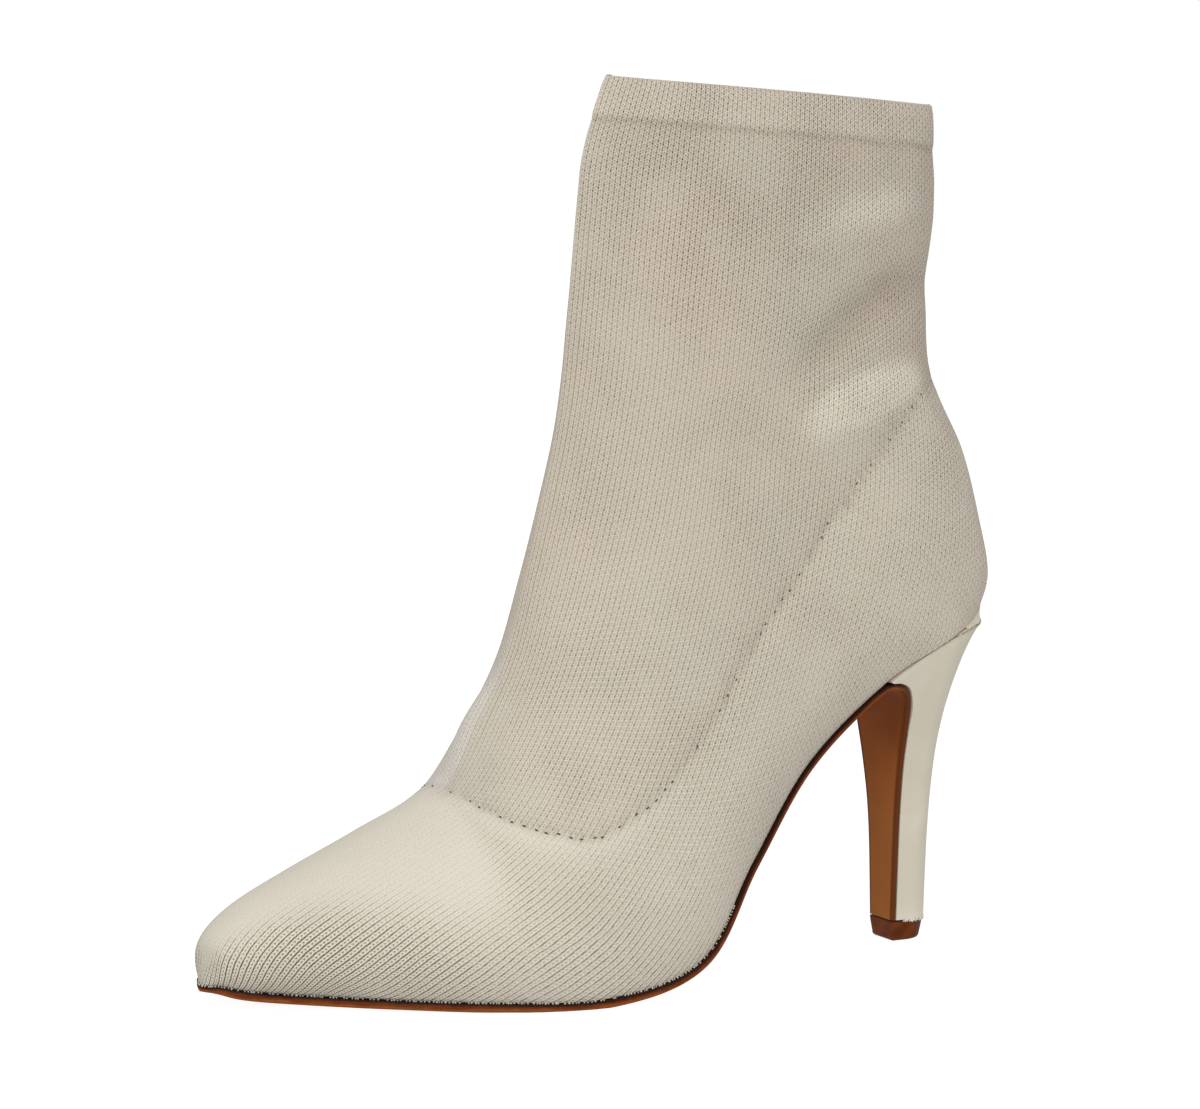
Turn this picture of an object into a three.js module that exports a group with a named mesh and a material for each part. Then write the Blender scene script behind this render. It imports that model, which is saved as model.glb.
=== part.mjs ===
// Knitted sock boot, left foot, on a slim covered stiletto heel. Millimetres, +Z up, toe towards -Y,
// outer (lateral) side towards +X. The boot stands on its forefoot and heel tip at Z = 0.
//
// All forms come from one last: a table of sections from the toe tip to the collar. Every section lies in
// a plane that holds the X direction, a point B on the feather line (or, above the heel seat, on the back
// line) and a point T on the ridge of vamp, instep and shin.
import * as THREE from 'three';

// ---- driving dimensions (mm) ----
const WALL = 1.8;              // knit with its lining
const HEM_WALL = 2.4;          // folded collar hem
const GAP = 0.3;               // between pieces that meet
const SOLE_TIP = 1.2;          // outsole thickness at the toe tip
const SOLE_FORE = 2.2;         // outsole thickness at the tread
const SOLE_WAIST = 1.6;        // outsole thickness in the arch
const SOLE_FLAP = 1.3;         // outsole thickness on the heel's breast
const SOLE_RAND = 1.0;         // how far the sole edge stands out from the feather line
const TIP_RAND = 0.5;          // the same at the toe tip
const EDGE_BEVEL = 0.45;       // sole edge drawn in at the bottom
const INSOLE_THICK = 1.6;
const INSOLE_CLEAR = 0.9;      // between insole edge and the upper's inner face
const INSOLE_END = 5;          // width of its blunt ends at toe and heel
const CENTRE_X = 5.9;          // middle of the boot's box in the last's own coordinates
const CENTRE_Y = -115.9;

// ---- the last ----
// yb zb: feather line up to the heel seat, then the back line; yt zt: ridge of vamp, instep and shin
// xb xt: sideways place of both; fL fR: feather half widths, outer and inner side; wL wR: widest half widths
// hw: height of the widest place, as a share of the section; rb: fullness at B; rt: fullness at T
// (0.5 is round, more is sharper)
const LAST_COLUMNS = ['name', 'yb', 'zb', 'yt', 'zt', 'xb', 'xt', 'fL', 'fR', 'wL', 'wR', 'hw', 'rb', 'rt'];
const LAST = [
  ['toe tip',     -236.0,    5.6,  -236.0,    5.6,  -3.9,  -3.9,   0.0,   0.0,   0.0,   0.0,  0.50,  0.50,  0.50],
  ['nose',        -235.0,    5.7,  -234.9,   11.7,  -4.6,  -3.8,   2.8,   2.9,   5.1,   4.7,  0.50,  0.50,  0.50],
  ['cap 1',       -232.8,    6.0,  -233.1,   18.8,  -5.1,  -3.4,   6.0,   6.2,  10.6,  10.3,  0.47,  0.50,  0.50],
  ['cap 2',       -227.0,    5.1,  -223.5,   26.4,  -5.1,  -2.9,  10.3,  10.9,  17.0,  16.7,  0.43,  0.50,  0.51],
  ['toe box',     -213.6,    4.2,  -206.9,   34.6,  -3.8,  -2.1,  16.0,  16.9,  24.3,  23.8,  0.38,  0.50,  0.53],
  ['vamp 1',      -193.2,    3.3,  -187.8,   44.1,  -0.9,  -0.5,  23.4,  23.1,  31.7,  30.4,  0.33,  0.50,  0.56],
  ['vamp 2',      -168.3,    2.7,  -170.9,   54.4,   3.3,   1.8,  31.2,  27.6,  37.0,  34.9,  0.28,  0.50,  0.59],
  ['ball',        -139.6,    2.5,  -161.3,   71.3,   5.6,   3.1,  34.9,  28.7,  39.0,  37.1,  0.26,  0.50,  0.61],
  ['throat',      -110.5,    9.5,  -152.6,   89.9,   5.3,   2.9,  32.6,  26.4,  37.7,  36.0,  0.27,  0.50,  0.63],
  ['waist',        -89.7,   32.1,  -146.5,  110.3,   2.9,   1.6,  26.0,  22.4,  34.6,  33.5,  0.30,  0.50,  0.64],
  ['instep',       -67.1,   56.8,  -141.5,  129.8,   0.8,   0.4,  20.2,  19.0,  31.2,  30.7,  0.33,  0.50,  0.66],
  ['seat front',   -39.9,   76.8,  -137.8,  146.9,   0.0,   0.0,  17.3,  17.0,  28.5,  28.4,  0.38,  0.50,  0.67],
  ['seat',         -16.1,   89.3,  -136.0,  161.5,   0.0,   0.0,  17.1,  16.8,  26.9,  26.8,  0.42,  0.50,  0.68],
  ['heel back',      1.4,   93.4,  -135.2,  174.1,   0.2,   0.1,   0.0,   0.0,  26.0,  25.8,  0.45,  0.50,  0.70],
  ['counter 1',      4.7,  104.2,  -134.4,  184.9,   0.2,   0.1,   0.0,   0.0,  25.2,  24.8,  0.47,  0.51,  0.72],
  ['counter 2',      1.4,  119.8,  -133.7,  194.3,   0.0,   0.0,   0.0,   0.0,  24.3,  23.6,  0.49,  0.53,  0.74],
  ['counter 3',     -4.8,  139.6,  -133.0,  202.9,  -0.3,  -0.2,   0.0,   0.0,  23.1,  22.1,  0.50,  0.56,  0.75],
  ['ankle',        -15.7,  160.9,  -132.3,  211.0,  -0.5,  -0.3,   0.0,   0.0,  21.2,  20.4,  0.50,  0.60,  0.75],
  ['shaft 1',      -18.0,  184.4,  -131.5,  219.3,  -0.5,  -0.3,   0.0,   0.0,  18.8,  18.5,  0.50,  0.64,  0.75],
  ['shaft 2',      -17.0,  209.8,  -129.2,  228.8,  -0.4,  -0.2,   0.0,   0.0,  16.5,  16.6,  0.50,  0.66,  0.75],
  ['collar',       -18.2,  237.2,  -125.0,  241.0,  -0.4,  -0.2,   0.0,   0.0,  13.4,  15.0,  0.50,  0.68,  0.75],
];
const SEAT_ROW = LAST.findIndex((r) => r[0] === 'heel back');
const TOP_ROW = LAST.length - 1;
const BEND_ROW = 10.91;        // where the sole leaves the feather line and turns down
const LOW_SHARE = 0.42;        // share of a half section below its widest place

// ---- the heel ----
// yF zF: breast (front) point; yK zK: back point; hF: half width at the breast; hM: widest half width
// round: share of the depth taken by the rounded back; follow: how much the ring follows the seat's curve
const HEEL_COLUMNS = ['name', 'yF', 'zF', 'yK', 'zK', 'hF', 'hM', 'round', 'follow'];
const HEEL = [
  ['foot',      -24.9,  6.3, -12.5,  6.3,  5.7,  6.0, 0.62, 0.0],
  ['shank 1',   -25.2, 18.0, -12.6, 18.0,  6.2,  6.4, 0.60, 0.0],
  ['shank 2',   -25.6, 31.0, -12.7, 31.0,  6.8,  7.1, 0.58, 0.0],
  ['shank 3',   -26.2, 43.0, -12.4, 44.0,  8.0,  8.2, 0.57, 0.0],
  ['neck 1',    -26.9, 53.5, -11.8, 56.5,  9.9, 10.2, 0.56, 0.1],
  ['neck 2',    -27.4, 62.5, -10.4, 67.0, 12.2, 12.4, 0.56, 0.2],
  ['cup 1',     -27.9, 69.5,  -8.7, 75.0, 14.3, 14.6, 0.55, 0.4],
  ['cup 2',     -30.3, 74.7,  -6.3, 81.0, 16.2, 16.2, 0.54, 0.7],
  ['cup 3',     -34.1, 76.6,  -3.6, 86.0, 17.6, 17.1, 0.51, 0.9],
  ['cup 4',     -37.6, 76.9,  -0.8, 90.4, 18.4, 17.7, 0.47, 1.0],
  ['seat',      -38.3, 77.5,   1.2, 93.0, 18.5, 17.9, 0.45, 1.0],
];
const HEEL_RINGS = 20;
const HEEL_FLAT_STEPS = 3;     // along the flat part of half a ring
const HEEL_ROUND_STEPS = 9;    // along the rounded part of half a ring

// ---- the heel tip ----
const TIP_COLUMNS = ['z', 'yF', 'yK', 'h'];
const TIP = [
  [0.0, -25.2, -14.0, 4.5],
  [0.7, -25.6, -13.6, 4.8],
  [6.0, -26.4, -12.5, 5.5],
];
const TIP_ROUND = 0.62;

// ---- the sole's turn from the arch down the heel's breast: its face against the heel ----
const FLAP_COLUMNS = ['name', 'y', 'z', 'h'];
const FLAP = [
  ['bend 1', -39.8, 76.1, 18.3],
  ['bend 2', -37.0, 76.5, 17.9],
  ['bend 3', -34.3, 76.1, 17.3],
  ['bend 4', -31.8, 75.0, 16.4],
  ['bend 5', -29.8, 73.0, 15.3],
  ['bend 6', -28.6, 70.2, 14.1],
  ['breast 1', -28.0, 66.3, 12.9],
  ['breast 2', -27.6, 60.5, 11.4],
  ['breast 3', -27.1, 52.0,  9.4],
  ['breast 4', -26.4, 41.0,  7.6],
  ['breast 5', -25.9, 30.0,  6.6],
  ['breast 6', -25.5, 17.0,  6.0],
  ['foot', -25.2,  6.3,  5.6],
];
const FLAP_RINGS = 20;

// ---- curves through the tables ----
const column = (columns, rows, name) => rows.map((row) => row[columns.indexOf(name)]);
const lastColumn = (name) => column(LAST_COLUMNS, LAST, name);

// smooth curve through equally spaced values; 'even' or 'odd' mirrors it past an end, 'free' runs on straight
function through(values, s, start = 'free', end = 'free') {
  const n = values.length - 1;
  const at = Math.min(Math.max(s, 0), n - 1e-9);
  const i = Math.floor(at);
  const t = at - i;
  const past = (edge, inside, mode) => (mode === 'even' ? inside : mode === 'odd' ? -inside : 2 * edge - inside);
  const p1 = values[i];
  const p2 = values[i + 1];
  const p0 = i > 0 ? values[i - 1] : past(values[0], values[1], start);
  const p3 = i + 2 <= n ? values[i + 2] : past(values[n], values[n - 1], end);
  return 0.5 * (2 * p1 + (p2 - p0) * t + (2 * p0 - 5 * p1 + 4 * p2 - p3) * t * t
    + (3 * p1 - p0 - 3 * p2 + p3) * t * t * t);
}

// one section of the last at station s
function station(s) {
  const foot = (name, mode) => through(lastColumn(name).slice(0, SEAT_ROW + 1), Math.min(s, SEAT_ROW), mode, mode);
  const back = (name) => through(lastColumn(name).slice(SEAT_ROW), Math.max(s - SEAT_ROW, 0));
  const whole = (name, start = 'free') => through(lastColumn(name), s, start);
  const inFoot = s <= SEAT_ROW;
  const f = ['fL', 'fR'].map((name) => (inFoot ? Math.max(foot(name, 'odd'), 0) : 0));
  return {
    B: [whole('xb', 'even'), inFoot ? foot('yb', 'even') : back('yb'), inFoot ? foot('zb', 'even') : back('zb')],
    T: [whole('xt', 'even'), whole('yt', 'even'), whole('zt')],
    f,
    w: ['wL', 'wR'].map((name, k) => Math.max(whole(name, 'odd'), f[k])),
    hw: whole('hw'), rb: whole('rb'), rt: whole('rt'),
  };
}

// point of a section: side 0 is the outer side (+X), 1 the inner; v runs from the feather line (0) to the ridge (1)
function sectionPoint({ B, T, f, w, hw, rb, rt }, side, v) {
  let h;
  let x;
  if (v < LOW_SHARE) {
    const a = (v / LOW_SHARE) * Math.PI / 2;
    h = hw * (1 - Math.cos(a));
    x = Math.sqrt(f[side] ** 2 + (w[side] ** 2 - f[side] ** 2) * Math.sin(a) ** (4 * rb));
  } else {
    const a = ((v - LOW_SHARE) / (1 - LOW_SHARE)) * Math.PI / 2;
    h = hw + (1 - hw) * Math.sin(a);
    x = w[side] * Math.max(1 - Math.sin(a) ** 2, 0) ** rt;
  }
  return B.map((b, k) => b + (T[k] - b) * h + (k === 0 ? (side === 0 ? x : -x) : 0));
}

// the sole's running direction at station s, and the direction square to it that points into the boot
function soleFrame(s) {
  const at = Math.max(Math.min(s, SEAT_ROW - 0.35), 0.38);
  const a = station(at - 0.08).B;
  const b = station(at + 0.08).B;
  const run = new THREE.Vector3(0, b[1] - a[1], b[2] - a[2]).normalize();
  return { run, up: new THREE.Vector3(0, -run.z, run.y) };
}

// ---- closed bodies from points ----
class Body {
  constructor() { this.points = []; this.keys = new Map(); this.faces = []; }

  add(p) {
    const key = p.map((c) => Math.round(c * 500)).join(',');
    if (!this.keys.has(key)) { this.keys.set(key, this.points.length); this.points.push(p); }
    return this.keys.get(key);
  }

  tri(a, b, c) { if (a !== b && b !== c && a !== c) this.faces.push([a, b, c]); }

  quad(a, b, c, d) {
    const far = (i, j) => Math.hypot(...this.points[i].map((v, k) => v - this.points[j][k]));
    if (far(a, c) <= far(b, d)) { this.tri(a, b, c); this.tri(a, c, d); } else { this.tri(a, b, d); this.tri(b, c, d); }
  }

  volume() {
    return this.faces.reduce((sum, face) => {
      const [p, q, r] = face.map((i) => new THREE.Vector3(...this.points[i]));
      return sum + p.dot(q.cross(r)) / 6;
    }, 0);
  }

  geometry() {
    if (this.volume() < 0) this.faces = this.faces.map(([a, b, c]) => [a, c, b]);
    const geometry = new THREE.BufferGeometry();
    geometry.setAttribute('position', new THREE.Float32BufferAttribute(this.points.flat(), 3));
    geometry.setIndex(this.faces.flat());
    geometry.computeVertexNormals();
    return geometry;
  }
}

// closed body through rings of equal length; each ring is mirrored left to right, so that ring[i] and
// ring[last - i] face each other and its cap is a ladder between them
function loft(rings) {
  const body = new Body();
  const ids = rings.map((ring) => ring.map((p) => body.add(p)));
  const n = rings[0].length;
  for (let i = 0; i + 1 < ids.length; i++) {
    for (let j = 0; j < n; j++) {
      const k = (j + 1) % n;
      body.quad(ids[i][j], ids[i][k], ids[i + 1][k], ids[i + 1][j]);
    }
  }
  [ids[0], ids[ids.length - 1]].forEach((ring, end) => {
    for (let j = 0; j < Math.floor(n / 2); j++) {
      const rung = [ring[j], ring[n - 1 - j], ring[n - 2 - j], ring[j + 1]];
      if (new Set(rung).size < 3) continue;
      if (end === 1) rung.reverse();
      body.quad(...rung);
    }
  });
  return body;
}

const range = (a, b, n) => Array.from({ length: n }, (_, i) => a + ((b - a) * i) / n);

// ---- upper: one hollow wall from the toe to the collar, open at the collar and underneath ----
const STATIONS = [...range(0, 3, 9), ...range(3, 16, 26), ...range(16, TOP_ROW, 4), TOP_ROW];
const SEAT_INDEX = STATIONS.findIndex((s) => Math.abs(s - SEAT_ROW) < 1e-9);
const HALF_ACROSS = [...range(0, LOW_SHARE, 5), ...range(LOW_SHARE, 1, 11)];
const ACROSS = [...HALF_ACROSS.map((v) => [0, v]), [0, 1], ...HALF_ACROSS.slice().reverse().map((v) => [1, v])];

function makeUpper() {
  const outer = STATIONS.map((s) => {
    const section = station(s);
    return ACROSS.map(([side, v]) => sectionPoint(section, side, v));
  });
  const end = ACROSS.length - 1;
  const rows = STATIONS.length;

  // outward normals of the outer skin; at the rims they lie in the rim's own plane
  const skin = new Body();
  const ids = outer.map((row) => row.map((p) => skin.add(p)));
  for (let i = 0; i + 1 < rows; i++) {
    for (let j = 0; j < end; j++) skin.quad(ids[i][j], ids[i + 1][j], ids[i + 1][j + 1], ids[i][j + 1]);
  }
  const normals = skin.points.map(() => new THREE.Vector3());
  for (const face of skin.faces) {
    const [p, q, r] = face.map((i) => new THREE.Vector3(...skin.points[i]));
    const n = q.sub(p).cross(r.sub(p));
    face.forEach((i) => normals[i].add(n));
  }
  const probe = ids[rows - 1][8];
  const sign = Math.sign(normals[probe].x * skin.points[probe][0]);
  const collar = station(TOP_ROW);
  const collarRun = new THREE.Vector3(0, collar.T[1] - collar.B[1], collar.T[2] - collar.B[2]).normalize();
  const collarUp = new THREE.Vector3(0, -collarRun.z, collarRun.y);
  const flatten = (n, up) => n.addScaledVector(up, -n.dot(up));
  for (let i = 0; i <= SEAT_INDEX; i++) {
    for (const j of [0, end]) flatten(normals[ids[i][j]], soleFrame(STATIONS[i]).up);
  }
  ids[rows - 1].forEach((id) => flatten(normals[id], collarUp));
  normals.forEach((n) => n.normalize().multiplyScalar(sign));

  const wall = (s) => THREE.MathUtils.lerp(WALL, HEM_WALL, THREE.MathUtils.smoothstep(s, TOP_ROW - 0.6, TOP_ROW - 0.3));
  const body = new Body();
  const out = outer.map((row) => row.map((p) => body.add(p)));
  const inn = outer.map((row, i) => row.map((p, j) => {
    const n = normals[ids[i][j]];
    const t = wall(STATIONS[i]);
    return body.add([p[0] - n.x * t, p[1] - n.y * t, p[2] - n.z * t]);
  }));
  for (let i = 0; i + 1 < rows; i++) {
    for (let j = 0; j < end; j++) {
      body.quad(out[i][j], out[i + 1][j], out[i + 1][j + 1], out[i][j + 1]);
      body.quad(inn[i][j], inn[i][j + 1], inn[i + 1][j + 1], inn[i + 1][j]);
    }
    if (i < SEAT_INDEX) {
      body.quad(out[i][0], inn[i][0], inn[i + 1][0], out[i + 1][0]);
      body.quad(out[i][end], out[i + 1][end], inn[i + 1][end], inn[i][end]);
    }
  }
  for (let j = 0; j < end; j++) body.quad(out[rows - 1][j], inn[rows - 1][j], inn[rows - 1][j + 1], out[rows - 1][j + 1]);
  const feather = outer.slice(0, SEAT_INDEX + 1)
    .map((row, i) => [0, end].map((j) => ({ p: row[j], n: normals[ids[i][j]] })));
  return { body, feather };
}

const upper = makeUpper();

// the feather outline at feather station i, moved outwards by d (inwards if negative) and up by lift
function outline(i, d, lift) {
  const { up } = soleFrame(STATIONS[i]);
  return upper.feather[i].map(({ p, n }) => [p[0] + n.x * d + up.x * lift, p[1] + n.y * d + up.y * lift, p[2] + n.z * d + up.z * lift]);
}

// ---- outsole: from the toe tip through tread and arch, round the bend, down the breast ----
function makeOutsole() {
  const rings = [];
  const addRing = (near, far, up, thick) => {
    const bevel = Math.min(EDGE_BEVEL, (near[0] - far[0]) * 0.3);
    // the tread is flat on the floor
    const move = (p, k, dx) => [p[0] + dx, p[1] + up.y * k, Math.max(p[2] + up.z * k, 0)];
    rings.push([
      near, move(near, -thick * 0.6, -bevel * 0.1), move(near, -thick, -bevel),
      move(far, -thick, bevel), move(far, -thick * 0.6, bevel * 0.1), far,
    ]);
  };
  STATIONS.filter((s) => s < BEND_ROW).forEach((s, i) => {
    const toe = THREE.MathUtils.smoothstep(s, 0, 3.5);
    const waist = THREE.MathUtils.smoothstep(s, 7.2, 9.2);
    const thick = THREE.MathUtils.lerp(THREE.MathUtils.lerp(SOLE_TIP, SOLE_FORE, toe), SOLE_WAIST, waist);
    addRing(...outline(i, THREE.MathUtils.lerp(TIP_RAND, SOLE_RAND, toe), -GAP), soleFrame(s).up, thick);
  });
  // the bend and the flap
  const last = FLAP.length - 1;
  const at = (k) => FLAP_COLUMNS.slice(1).map((name) => through(column(FLAP_COLUMNS, FLAP, name), k));
  [...range(0, last, FLAP_RINGS), last].forEach((k) => {
    const [y, z, h] = at(k);
    const [a, b] = [at(k - 0.1), at(k + 0.1)];
    const down = new THREE.Vector3(0, b[0] - a[0], b[1] - a[1]).normalize();
    if (k === last) down.set(0, 0, -1);
    addRing([h, y, z], [-h, y, z], new THREE.Vector3(0, -down.z, down.y), THREE.MathUtils.lerp(SOLE_WAIST, SOLE_FLAP, Math.min(k / 4, 1)));
  });
  return loft(rings);
}

// ---- heel and heel tip: D sections, flat at the breast and round at the back ----
const seatCurve = Array.from({ length: 41 }, (_, i) => station(10 + (SEAT_ROW - 10) * (i / 40)).B);
function seatHeight(y) {
  const i = Math.max(seatCurve.findIndex((p) => p[1] >= y), 1);
  if (y >= seatCurve[seatCurve.length - 1][1]) return seatCurve[seatCurve.length - 1][2];
  const [a, b] = [seatCurve[i - 1], seatCurve[i]];
  return a[2] + ((b[2] - a[2]) * (y - a[1])) / (b[1] - a[1]);
}
function dRing(yF, zF, yK, zK, hF, hM, round, follow) {
  const place = ([t, x]) => {
    const y = yF + (yK - yF) * t;
    const chord = seatHeight(yF) + (seatHeight(yK) - seatHeight(yF)) * t;
    return [x, y, zF + (zK - zF) * t + follow * (seatHeight(y) - chord)];
  };
  const half = range(0, 1, HEEL_FLAT_STEPS).map((t) => [(1 - round) * t, hF + (hM - hF) * t]);
  for (let j = 0; j <= HEEL_ROUND_STEPS; j++) {
    const a = (j / HEEL_ROUND_STEPS) * Math.PI / 2;
    half.push([1 - round + round * Math.sin(a), j === HEEL_ROUND_STEPS ? 0 : hM * Math.cos(a)]);
  }
  return [...half, ...half.slice().reverse().map(([t, x]) => [t, -x])].map(place);
}
function makeHeel() {
  const last = HEEL.length - 1;
  const at = (k) => HEEL_COLUMNS.slice(1).map((name) => through(column(HEEL_COLUMNS, HEEL, name), k));
  return loft([...range(0, last, HEEL_RINGS), last].map((k) => dRing(...at(k))));
}
const makeTopPiece = () => loft(TIP.map(([z, yF, yK, h]) => dRing(yF, z, yK, z, h, h, TIP_ROUND, 0)));

// ---- insole: the board inside the upper's feather line ----
function makeInsole() {
  const inset = -(WALL + INSOLE_CLEAR);
  return loft(upper.feather.map((_, i) => {
    const [nearLow, farLow] = outline(i, inset, 0.1);
    const [nearTop, farTop] = outline(i, inset, 0.1 + INSOLE_THICK);
    return [nearTop, nearLow, farLow, farTop];
  }).filter(([near, , , far]) => near[0] - far[0] > INSOLE_END));
}

// ---- the boot ----
const finish = (color, roughness) => new THREE.MeshStandardMaterial({ color, roughness, metalness: 0 });
const pieces = {
  upper: [upper.body, finish(0xc6b9a4, 0.95)],
  outsole: [makeOutsole(), finish(0x74421f, 0.5)],
  heel: [makeHeel(), finish(0xc8bfac, 0.75)],
  top_piece: [makeTopPiece(), finish(0x5a250d, 0.6)],
  insole: [makeInsole(), finish(0xb9a98f, 0.85)],
};
const group = new THREE.Group();
for (const [name, [body, material]] of Object.entries(pieces)) {
  const mesh = new THREE.Mesh(body.geometry(), material);
  mesh.name = name;
  group.add(mesh);
}
group.position.set(-CENTRE_X, -CENTRE_Y, 0);

export default group;
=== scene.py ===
"""Knitted sock boot on a slim covered stiletto heel, left foot: its looks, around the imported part.
Sizes below are millimetres in the last's own coordinates (toe towards -Y, outer side towards +X, floor at 0);
put() turns them into the row's metres."""
import math

import bmesh
import bpy
import numpy as np
from mathutils import Matrix


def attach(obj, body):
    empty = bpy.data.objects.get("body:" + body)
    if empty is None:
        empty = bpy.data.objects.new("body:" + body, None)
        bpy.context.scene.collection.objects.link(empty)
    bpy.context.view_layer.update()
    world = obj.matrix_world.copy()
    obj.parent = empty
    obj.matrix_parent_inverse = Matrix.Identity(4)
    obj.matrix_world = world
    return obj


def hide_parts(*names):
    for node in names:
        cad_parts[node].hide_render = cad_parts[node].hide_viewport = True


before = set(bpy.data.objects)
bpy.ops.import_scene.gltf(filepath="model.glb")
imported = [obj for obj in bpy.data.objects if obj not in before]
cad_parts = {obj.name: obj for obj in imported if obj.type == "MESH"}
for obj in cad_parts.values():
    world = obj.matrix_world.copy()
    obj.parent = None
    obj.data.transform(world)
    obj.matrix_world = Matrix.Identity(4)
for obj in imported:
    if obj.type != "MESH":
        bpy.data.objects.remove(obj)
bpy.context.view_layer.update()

CENTRE = np.array([5.9, -115.9, 0.0])
rng = np.random.default_rng(413)


def put(points):
    return (np.asarray(points, float) - CENTRE) / 1000.0


# ------------------------------------------------------------------ camera
def make_camera():
    phi, pitch, roll = (math.radians(a) for a in (59.59073957, 5.75176698, 1.4614761))
    place = put([767.16378, -573.18164, 203.38630])
    d = np.array([-math.sin(phi) * math.cos(pitch), math.cos(phi) * math.cos(pitch), -math.sin(pitch)])
    r0 = np.array([math.cos(phi), math.sin(phi), 0.0])
    u0 = np.cross(r0, d)
    r = math.cos(roll) * r0 + math.sin(roll) * u0
    u = -math.sin(roll) * r0 + math.cos(roll) * u0
    data = bpy.data.cameras.new("camera")
    data.sensor_fit = "HORIZONTAL"
    data.sensor_width = 36.0
    data.lens = 3317.55214 / 1200 * 36.0
    data.clip_start, data.clip_end = 0.05, 40.0
    cam = bpy.data.objects.new("camera", data)
    bpy.context.scene.collection.objects.link(cam)
    m = Matrix.Identity(4)
    for k in range(3):
        m[k][0], m[k][1], m[k][2], m[k][3] = r[k], u[k], -d[k], place[k]
    cam.matrix_world = m
    bpy.context.scene.camera = cam


make_camera()

# ------------------------------------------------------------------ the last
# yb zb: feather line up to the heel seat, then the back line; yt zt: ridge of vamp, instep and shin
# xb xt: sideways place of both; fL fR: feather half widths, outer and inner side; wL wR: widest half widths
# hw: height of the widest place; rb rt: fullness at the bottom and at the ridge
LAST_COLUMNS = ["yb", "zb", "yt", "zt", "xb", "xt", "fL", "fR", "wL", "wR", "hw", "rb", "rt"]
LAST = np.array([
    [-236.0, 5.6, -236.0, 5.6, -3.9, -3.9, 0.0, 0.0, 0.0, 0.0, 0.50, 0.50, 0.50],     # toe tip
    [-235.0, 5.7, -234.9, 11.7, -4.6, -3.8, 2.8, 2.9, 5.1, 4.7, 0.50, 0.50, 0.50],    # nose
    [-232.8, 6.0, -233.1, 18.8, -5.1, -3.4, 6.0, 6.2, 10.6, 10.3, 0.47, 0.50, 0.50],  # cap 1
    [-227.0, 5.1, -223.5, 26.4, -5.1, -2.9, 10.3, 10.9, 17.0, 16.7, 0.43, 0.50, 0.51],  # cap 2
    [-213.6, 4.2, -206.9, 34.6, -3.8, -2.1, 16.0, 16.9, 24.3, 23.8, 0.38, 0.50, 0.53],  # toe box
    [-193.2, 3.3, -187.8, 44.1, -0.9, -0.5, 23.4, 23.1, 31.7, 30.4, 0.33, 0.50, 0.56],  # vamp 1
    [-168.3, 2.7, -170.9, 54.4, 3.3, 1.8, 31.2, 27.6, 37.0, 34.9, 0.28, 0.50, 0.59],  # vamp 2
    [-139.6, 2.5, -161.3, 71.3, 5.6, 3.1, 34.9, 28.7, 39.0, 37.1, 0.26, 0.50, 0.61],  # ball
    [-110.5, 9.5, -152.6, 89.9, 5.3, 2.9, 32.6, 26.4, 37.7, 36.0, 0.27, 0.50, 0.63],  # throat
    [-89.7, 32.1, -146.5, 110.3, 2.9, 1.6, 26.0, 22.4, 34.6, 33.5, 0.30, 0.50, 0.64],  # waist
    [-67.1, 56.8, -141.5, 129.8, 0.8, 0.4, 20.2, 19.0, 31.2, 30.7, 0.33, 0.50, 0.66],  # instep
    [-39.9, 76.8, -137.8, 146.9, 0.0, 0.0, 17.3, 17.0, 28.5, 28.4, 0.38, 0.50, 0.67],  # seat front
    [-16.1, 89.3, -136.0, 161.5, 0.0, 0.0, 17.1, 16.8, 26.9, 26.8, 0.42, 0.50, 0.68],  # seat
    [1.4, 93.4, -135.2, 174.1, 0.2, 0.1, 0.0, 0.0, 26.0, 25.8, 0.45, 0.50, 0.70],     # heel back
    [4.7, 104.2, -134.4, 184.9, 0.2, 0.1, 0.0, 0.0, 25.2, 24.8, 0.47, 0.51, 0.72],    # counter 1
    [1.4, 119.8, -133.7, 194.3, 0.0, 0.0, 0.0, 0.0, 24.3, 23.6, 0.49, 0.53, 0.74],    # counter 2
    [-4.8, 139.6, -133.0, 202.9, -0.3, -0.2, 0.0, 0.0, 23.1, 22.1, 0.50, 0.56, 0.75],  # counter 3
    [-15.7, 160.9, -132.3, 211.0, -0.5, -0.3, 0.0, 0.0, 21.2, 20.4, 0.50, 0.60, 0.75],  # ankle
    [-18.0, 184.4, -131.5, 219.3, -0.5, -0.3, 0.0, 0.0, 18.8, 18.5, 0.50, 0.64, 0.75],  # shaft 1
    [-17.0, 209.8, -129.2, 228.8, -0.4, -0.2, 0.0, 0.0, 16.5, 16.6, 0.50, 0.66, 0.75],  # shaft 2
    [-18.2, 237.2, -125.0, 241.0, -0.4, -0.2, 0.0, 0.0, 13.4, 15.0, 0.50, 0.68, 0.75],  # collar
])
SEAT_ROW, TOP_ROW, BEND_ROW, LOW_SHARE = 13, 20, 10.91, 0.42
WALL, HEM_WALL, GAP = 1.8, 2.4, 0.3
SOLE_TIP, SOLE_FORE, SOLE_WAIST, SOLE_FLAP = 1.2, 2.2, 1.6, 1.3
TIP_RAND, SOLE_RAND, EDGE_BEVEL = 0.5, 1.0, 0.45
INSOLE_THICK, INSOLE_CLEAR, INSOLE_END = 1.6, 0.9, 5.0


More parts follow.
